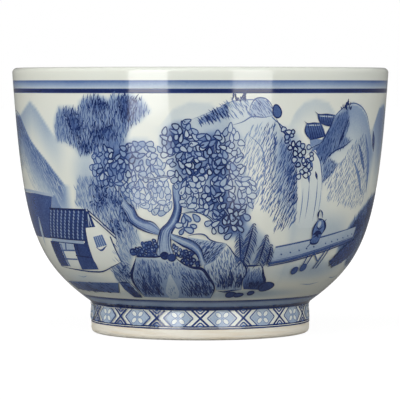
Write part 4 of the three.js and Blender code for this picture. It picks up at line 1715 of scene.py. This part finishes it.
@dataclass(frozen=True)
class Palette:
    """The cup's finishes, each made once."""

    glaze: Material
    washed_glaze: Material
    base_glaze: Material
    cobalt: Material
    band: Material
    bowl: Material
    foot: Material
    slip: Material

    @classmethod
    def make(cls) -> "Palette":
        """Builds every finish.

        Returns:
            The palette.
        """
        effects = Effects()
        return cls(
            glaze=GlazeFinish("glaze_inside").build(effects),
            washed_glaze=GlazeFinish("glaze_outside", washed=True).build(effects),
            base_glaze=GlazeFinish("glaze_base", roughness=0.09, ripple=0.02).build(effects),
            cobalt=CobaltFinish("cobalt_strokes").build(effects),
            band=CobaltFinish("cobalt_bands", mottle=0.1).build(effects),
            bowl=BiscuitFinish("biscuit", roughness=0.8).build(effects),
            foot=BiscuitFinish("bare_foot", roughness=0.62).build(effects),
            slip=BiscuitFinish("slip", roughness=0.85, pale=(0.7, 0.68, 0.6)).build(effects),
        )


@dataclass(frozen=True)
class Coats:
    """The coats of glaze outside, inside and in the recess under the cup."""

    profile: Profile
    segments: int = 540
    inner_segments: int = 384
    base_segments: int = 256
    wall_steps: int = 140
    washes_from: float = 8.7
    washes_to: float = 53.9

    def outside(self, material: Material, landscape: Sequence[Scenery], wall: Wall) -> None:
        """Builds the outer coat and lays the landscape's washes on it.

        Args:
            material: Glaze that shows washes.
            landscape: The painted scenery.
            wall: The painted wall.
        """
        s = self.profile.sizes
        face = self.profile.outside(self.wall_steps)
        lip = self.profile.lip(0, 90)
        under = offset(self.profile.outside(16), s.glaze)
        edge = np.array([(s.foot_biscuit + 0.08, s.bare_edge), (s.foot_radius - 0.06, s.bare_edge + 0.1),
            (s.foot_radius, s.bare_edge + 0.35)])
        outline = np.concatenate([edge, face[1:], lip[1:], self.profile.lip(90, 0, s.glaze), under[::-1][1:]])
        mesh, azimuth, height = turned_mesh("outer_coat", outline, self.segments)
        washes = Washes(wall, azimuth, height)
        for scenery in landscape:
            scenery.wash(washes)
        washes.load *= (height > self.washes_from) & (height < self.washes_to)
        set_pigment(mesh, washes.load.clip(0, 1))
        wrap_map(mesh, azimuth, self._along(outline, self.segments))
        link_piece("outer_coat", mesh, material, "glaze_outside", ("outer_glaze",))

    @staticmethod
    def _along(outline: np.ndarray, segments: int) -> np.ndarray:
        """Each vertex's share of the outline's length, for a mesh turned from it."""
        length = np.append(0, np.cumsum(np.hypot(*np.diff(outline, axis=0).T)))
        each = [1 if radius < AXIS else segments for radius in outline[:, 0]]
        return np.repeat(length / length[-1], each)

    def inside(self, material: Material) -> None:
        """Builds the inner coat."""
        s = self.profile.sizes
        face = self.profile.inside()
        under = offset(face, -s.glaze)
        middle = np.array([(s.well_radius * share, s.floor_biscuit) for share in (0, 0.4, 0.8)])
        outline = np.concatenate([middle, under[:-1], self.profile.lip(180, 90, s.glaze),
            self.profile.lip(90, 180), face[::-1][1:], middle[::-1] + (0, s.glaze)])
        mesh, azimuth, _ = turned_mesh("inner_coat", outline, self.inner_segments)
        wrap_map(mesh, azimuth, self._along(outline, self.inner_segments))
        link_piece("inner_coat", mesh, material, "glaze_inside", ("inner_glaze",))

    def base(self, material: Material) -> None:
        """Builds the coat in the recess."""
        s, foot = self.profile.sizes, self.profile.foot_inner
        low = s.base_height - s.glaze
        wide = foot(s.neck_height)
        ceiling = bezier([(s.base_radius, low), (wide - 1.2, low + 0.3), (wide - s.glaze,
            s.neck_height - 1.1), (foot(s.neck_height - 2.4) - s.glaze, s.neck_height - 2.4)], 14)
        edge = bezier([(foot(1.8) - s.glaze, 1.8), (foot(1.4) - s.glaze, s.bare_inside),
            (foot(1.4), s.bare_inside)], 5)
        back = [(foot(s.slip_bottom), s.slip_bottom), (wide, s.neck_height), (s.base_radius, s.base_height),
                (0, s.base_height)]
        outline = np.concatenate([[(0, low), (s.base_radius / 2, low)], ceiling, edge, back])
        mesh, azimuth, _ = turned_mesh("base_coat", outline, self.base_segments)
        wrap_map(mesh, azimuth, self._along(outline, self.base_segments))
        link_piece("base_coat", mesh, material, "glaze_base", ("base_glaze",))


@dataclass(frozen=True)
class Clay:
    """The biscuit under the glaze: the bowl, its foot ring and the slip between them."""

    profile: Profile
    segments: int = 256

    def bowl(self, material: Material) -> None:
        """Builds the bowl."""
        s = self.profile.sizes
        outer = offset(self.profile.outside(40), s.glaze)
        outer = outer[outer[:, 1] >= s.neck_height]
        inner = offset(self.profile.inside(), -s.glaze)
        outline = np.concatenate([[(0, s.base_height), (s.base_radius, s.base_height),
            (self.profile.foot_inner(s.neck_height), s.neck_height)], outer, self.profile.lip(0, 180,
            s.glaze, 16), inner[::-1][1:], [(0, s.floor_biscuit)]])
        mesh, _, _ = turned_mesh("bowl", outline, self.segments)
        link_piece("bowl", mesh, material, "biscuit", ("bowl_body",))

    def foot(self, material: Material) -> None:
        """Builds the foot ring, rounded where it stands."""
        s = self.profile.sizes
        inner = self.profile.foot_inner
        low, high = low_high("foot_ring")
        rest = (s.recess_biscuit + high.x) / 2
        flush = s.foot_radius - 0.05
        left, right = rest - s.rest_width / 2, rest + s.rest_width / 2
        outline = np.concatenate([
            bezier([(inner(0), 0.9), (inner(0), 0), (left, low.z)], 6),
            bezier([(right, low.z), (flush, 0.0), (flush, 1.3)], 10),
            [(flush, s.bare_edge - 0.04), (s.foot_biscuit, s.bare_edge), (s.neck_biscuit, s.slip_bottom),
             (inner(s.slip_bottom), s.slip_bottom)]])
        mesh, _, _ = turned_mesh("foot", outline, self.segments)
        link_piece("foot", mesh, material, "bare_foot", ("foot_ring",))

    def slip(self, material: Material) -> None:
        """Builds the bed of slip, hidden in the joint."""
        s = self.profile.sizes
        inner = self.profile.foot_inner
        outline = np.array([(inner(s.slip_bottom), s.slip_bottom), (s.neck_biscuit, s.slip_bottom),
            (s.neck_biscuit, s.neck_height), (inner(s.neck_height), s.neck_height)])
        mesh, _, _ = turned_mesh("slip_bed", outline, self.segments)
        link_piece("slip_bed", mesh, material, "slip", ("luting_slip",))


@dataclass(frozen=True)
class Band:
    """A band of cobalt right round the cup, taking its height from a CAD node."""

    node: str
    slot: str
    tones: tuple[float, ...]
    below: float = 0.0
    above: float = 0.0

    def build(self, wall: Wall, material: Material) -> None:
        """Makes the band.

        Args:
            wall: The wall that it is painted on.
            material: Cobalt.
        """
        low, high = low_high(self.node)
        heights = np.linspace(low.z - self.below, high.z + self.above, 9)
        radius = wall.radius(heights)
        out, up = wall.normals(heights)
        lift = Layer.BANDS.value * np.array([0.2, *[1.0] * 7, 0.2])
        face = np.stack([radius + out * lift, heights + up * lift], 1)
        back = np.stack([radius - out * 0.1, heights - up * 0.1], 1)[::-1]
        mesh, azimuth, height = turned_mesh(f"{self.node}_paint", np.concatenate([face, back]), 512)
        share = (height - heights[0]) / (heights[-1] - heights[0])
        wave = 0.04 * np.sin(np.radians(azimuth * 7)) + 0.03 * np.sin(np.radians(azimuth * 17 + 40))
        load = np.interp(share, np.linspace(0, 1, len(self.tones)), self.tones) * (1 + wave)
        set_pigment(mesh, load.clip(0, 1))
        vertex = corner_vertices(mesh)
        set_map(mesh, ((azimuth[vertex] + 180) / 360 * 0.5), load[vertex].clip(0, 1))
        link_piece(f"{self.node}_paint", mesh, material, self.slot, (self.node,))


@dataclass(frozen=True)
class FootLattice:
    """The painted lattice round the foot: crossings, nested chevrons, and diamonds that hold a flower."""

    repeats: int = 16
    line: float = 0.34
    load: float = 0.68
    slope: float = 0.95
    nest: float = 1.55

    def build(self, wall: Wall, material: Material) -> None:
        """Draws the lattice.

        Args:
            wall: The wall that it is painted on.
            material: Cobalt.
        """
        low, high = (corner.z for corner in low_high("foot_lattice"))
        canvas = Canvas("lattice", wall, Layer.BANDS, 29)
        middle, half = (low + high) / 2, (high - low) / 2
        degree = math.degrees(1 / float(wall.radius(middle)))
        for repeat in range(self.repeats):
            centre = 360 * repeat / self.repeats
            self._flower(canvas, centre + 180 / self.repeats, degree, middle, half)
            for way in (-1, 1):
                for shift in (0.0, self.nest):
                    self._chevron(canvas, centre, degree, middle, half, way, shift)
                reach = (half - 0.85) / self.slope * degree
                canvas.stroke([(centre - reach, middle + way * half), (centre, middle + way * 0.85),
                    (centre + reach, middle + way * half)], self.line, self.load, Taper.NONE, False)
                canvas.loop((centre, middle + way * (half - 0.05)), 0.8, 0.5, 0, 0, 0, self.load * 0.8, 0)
        canvas.build(material, "cobalt_pale", ("foot_lattice",))

    def _chevron(self, canvas: Canvas, centre: float, degree: float, middle: float, half: float, way: int,
            shift: float) -> None:
        """Draws one side of a crossing, or of the smaller diamond beside it."""
        reach = half / self.slope
        corner = centre + way * shift * degree
        for side in (-1, 1):
            canvas.stroke([(corner, middle), (corner + way * reach * degree, middle + side * half)],
                self.line * (0.85 if shift else 1.25), self.load * (0.95 if shift else 1.2), Taper.NONE,
                False)

    def _flower(self, canvas: Canvas, centre: float, degree: float, middle: float, half: float) -> None:
        """Draws the four-petalled flower in a diamond, white on a blue wash."""
        wide = math.pi * float(canvas.wall.radius(middle)) / self.repeats - self.nest - self.line
        top = (wide - half / self.slope) * degree
        wide *= degree
        canvas.fill(((centre - top, middle + half), (centre - wide, middle), (centre - top, middle - half)),
                    ((centre + top, middle + half), (centre + wide, middle), (centre + top, middle - half)),
                    self.load * 0.3, self.load * 0.42)
        for side in (-1, 1):
            for rise in (-1, 1):
                place = (centre + side * 0.82 * degree, middle + rise * 0.72)
                canvas.loop(place, 1.5, 1.0, side * rise * 40, 0.14, self.load * 0.7, 0.02, 0)
        canvas.loop((centre, middle), 0.5, 0.44, 0, 0, 0, 0.35, 0)


@dataclass(frozen=True)
class Teacup:
    """The whole cup."""

    sizes: CupSizes = field(default_factory=CupSizes)
    bands: tuple[Band, ...] = (
        Band("rim_band", "cobalt_band", (0.2, 0.26, 0.34, 0.46, 0.6)),
        Band("rim_line", "cobalt_dark", (0.7, 0.98, 1.0, 0.98, 0.7), 0.2, 0.06),
        Band("joint_line", "cobalt_dark", (0.8, 1.0, 1.0, 0.8), 0.24, 0.16),
        Band("joint_wash", "cobalt_pale", (0.5, 0.34, 0.3, 0.32, 0.38, 0.9, 0.7), 0.6, 0.16),
        Band("foot_line", "cobalt_dark", (0.8, 1.0, 1.0, 0.7), 0.08, 0.32),
    )

    def build(self, palette: Palette) -> None:
        """Builds every piece, from the clay outwards.

        Args:
            palette: The finishes.
        """
        profile = Profile(self.sizes)
        wall = Wall(profile.outside(200))
        clay = Clay(profile)
        clay.bowl(palette.bowl)
        clay.foot(palette.foot)
        clay.slip(palette.slip)
        coats = Coats(profile)
        coats.outside(palette.washed_glaze, LANDSCAPE, wall)
        coats.inside(palette.glaze)
        coats.base(palette.base_glaze)
        for band in self.bands:
            band.build(wall, palette.band)
        FootLattice().build(wall, palette.cobalt)
        for scenery in LANDSCAPE:
            scenery.build(wall, palette.cobalt)


# ---- Studio ----


@dataclass(frozen=True)
class Studio:
    """A plain pale table, two tall soft lights in front and a camera just above the table."""

    light_turn: float = 31.0
    light_away: float = 0.9
    light_width: float = 0.38
    light_top: float = 0.95
    light_foot: float = -0.1
    skirts: tuple[tuple[float, float], ...] = ((-0.38, 1.9), (-0.6, 0.5))
    skirt_widths: tuple[float, ...] = (0.3, 0.6, 0.9, 1.15)
    light_power: float = 4.3
    left_share: float = 0.98
    right_share: float = 0.66
    fills: tuple[tuple[float, float, float], ...] = ((-78, 1.9, 0.0), (78, 1.25, 0.0), (180, 1.6, 0.0),
        (0, 1.5, 0.4), (38, 0.6, 0.4))
    fill_width: float = 0.9
    room: float = 0.18
    camera_away: float = 0.619
    camera_height: float = 0.0556
    aim: tuple[float, float, float] = (-0.00007, 0.0, 0.0297)
    lens: float = 246.0

    def build(self) -> None:
        """Sets the whole studio up."""
        self._table()
        self._world()
        for side in (-1, 1):
            share = self.left_share if side < 0 else self.right_share
            turn, wide, power = side * self.light_turn, self.light_width, self.light_power * share
            self._light(turn, wide, self.light_foot, self.light_top, power)
            top = self.light_foot
            for foot, skirt_share in self.skirts:
                for width in self.skirt_widths:
                    self._light(turn, wide * width, foot, top, power * skirt_share / len(self.skirt_widths))
                top = foot
        for turn, power, foot in self.fills:
            self._light(turn, self.fill_width, foot, self.light_top, power).visible_glossy = False
        self._camera()
        bpy.context.scene.view_settings.view_transform = "Standard"

    def _table(self) -> None:
        """The table: a white glow to the camera, dimmed near the cup as a painted shadow, over a faint real
        shadow, and dim to everything else.
        """
        bpy.ops.mesh.primitive_circle_add(vertices=96, radius=6, fill_type="NGON")
        table = bpy.context.object
        table.name = "table"
        material = bpy.data.materials.new("table")
        material.use_nodes = True
        material.node_tree.nodes.clear()
        graph = Graph(material.node_tree)
        seen = graph.add("LightPath").outputs["Is Camera Ray"]
        where = graph.add("TexCoord").outputs["Object"]
        away = graph.add("VectorMath", {0: where}, operation="LENGTH").outputs["Value"]
        # Painted shadow: the glow's strength is 0.93 near the cup and rises to 1.0 by 0.3 m out.
        far = graph.add("MapRange", {"Value": away, 1: 0.04, 2: 0.3, 3: 0.93, 4: 1.0}).outputs[0]
        glow_dimmed_near_cup = graph.add("Emission", {"Color": (1, 1, 1, 1), "Strength": far})
        cloth = graph.ramp(graph.noise(3, 2), ((0.3, (0.1, 0.1, 0.098)), (0.7, (0.12, 0.12, 0.118))))
        pale = graph.add("BsdfDiffuse", {"Color": cloth})
        glow_over_cloth = graph.add("AddShader", {0: glow_dimmed_near_cup.outputs[0], 1: pale.outputs[0]})
        dim = graph.add("BsdfDiffuse", {"Color": (0.16, 0.16, 0.15, 1)})
        both = graph.add("MixShader", {0: seen, 1: dim.outputs[0], 2: glow_over_cloth.outputs[0]})
        graph.add("OutputMaterial", {"Surface": both.outputs[0]})
        table.data.materials.append(material)
        table.visible_glossy = False

    def _world(self) -> None:
        """The room: white behind the cup, dim where it is only reflected."""
        world = bpy.data.worlds.new("room")
        world.use_nodes = True
        world.node_tree.nodes.clear()
        graph = Graph(world.node_tree)
        seen = graph.add("LightPath").outputs["Is Camera Ray"]
        level = graph.maths("ADD", graph.maths("MULTIPLY", seen, 1.0 - self.room), self.room)
        sky = graph.add("Background", {"Color": (1.0, 1.0, 1.0, 1.0), "Strength": level})
        graph.add("OutputWorld", {"Surface": sky.outputs[0]})
        bpy.context.scene.world = world

    def _light(self, turn: float, width: float, foot: float, top: float, power: float) -> Object:
        """One upright panel of soft light.

        Args:
            turn: Its azimuth in degrees.
            width: Its width.
            foot: Height of its lower edge above the table.
            top: Height of its top edge.
            power: Its brightness.

        Returns:
            The light.
        """
        data = bpy.data.lights.new("soft_light", "AREA")
        data.shape = "RECTANGLE"
        data.size, data.size_y = width, top - foot
        data.energy = power * math.pi * width * (top - foot)
        light = bpy.data.objects.new("soft_light", data)
        away = self.light_away
        light.location = (math.sin(math.radians(turn)) * away, -math.cos(math.radians(turn)) * away,
            (top + foot) / 2)
        aim = Vector((0, 0, light.location.z)) - light.location
        light.rotation_euler = aim.to_track_quat("-Z", "Y").to_euler()
        light.visible_camera = False
        bpy.context.scene.collection.objects.link(light)
        return light

    def _camera(self) -> None:
        """The camera."""
        data = bpy.data.cameras.new("camera")
        data.lens = self.lens
        data.sensor_width = 36.0
        data.clip_start, data.clip_end = 0.01, 50.0
        camera = bpy.data.objects.new("camera", data)
        camera.location = (0, -self.camera_away, self.camera_height)
        aim = Vector(self.aim) - camera.location
        camera.rotation_euler = aim.to_track_quat("-Z", "Y").to_euler()
        bpy.context.scene.collection.objects.link(camera)
        bpy.context.scene.camera = camera


def main() -> None:
    """Builds the cup and its studio."""
    logging.basicConfig(level=logging.INFO, format="%(name)s: %(message)s")
    Teacup().build(Palette.make())
    Studio().build()


if __name__ == "__main__":
    main()
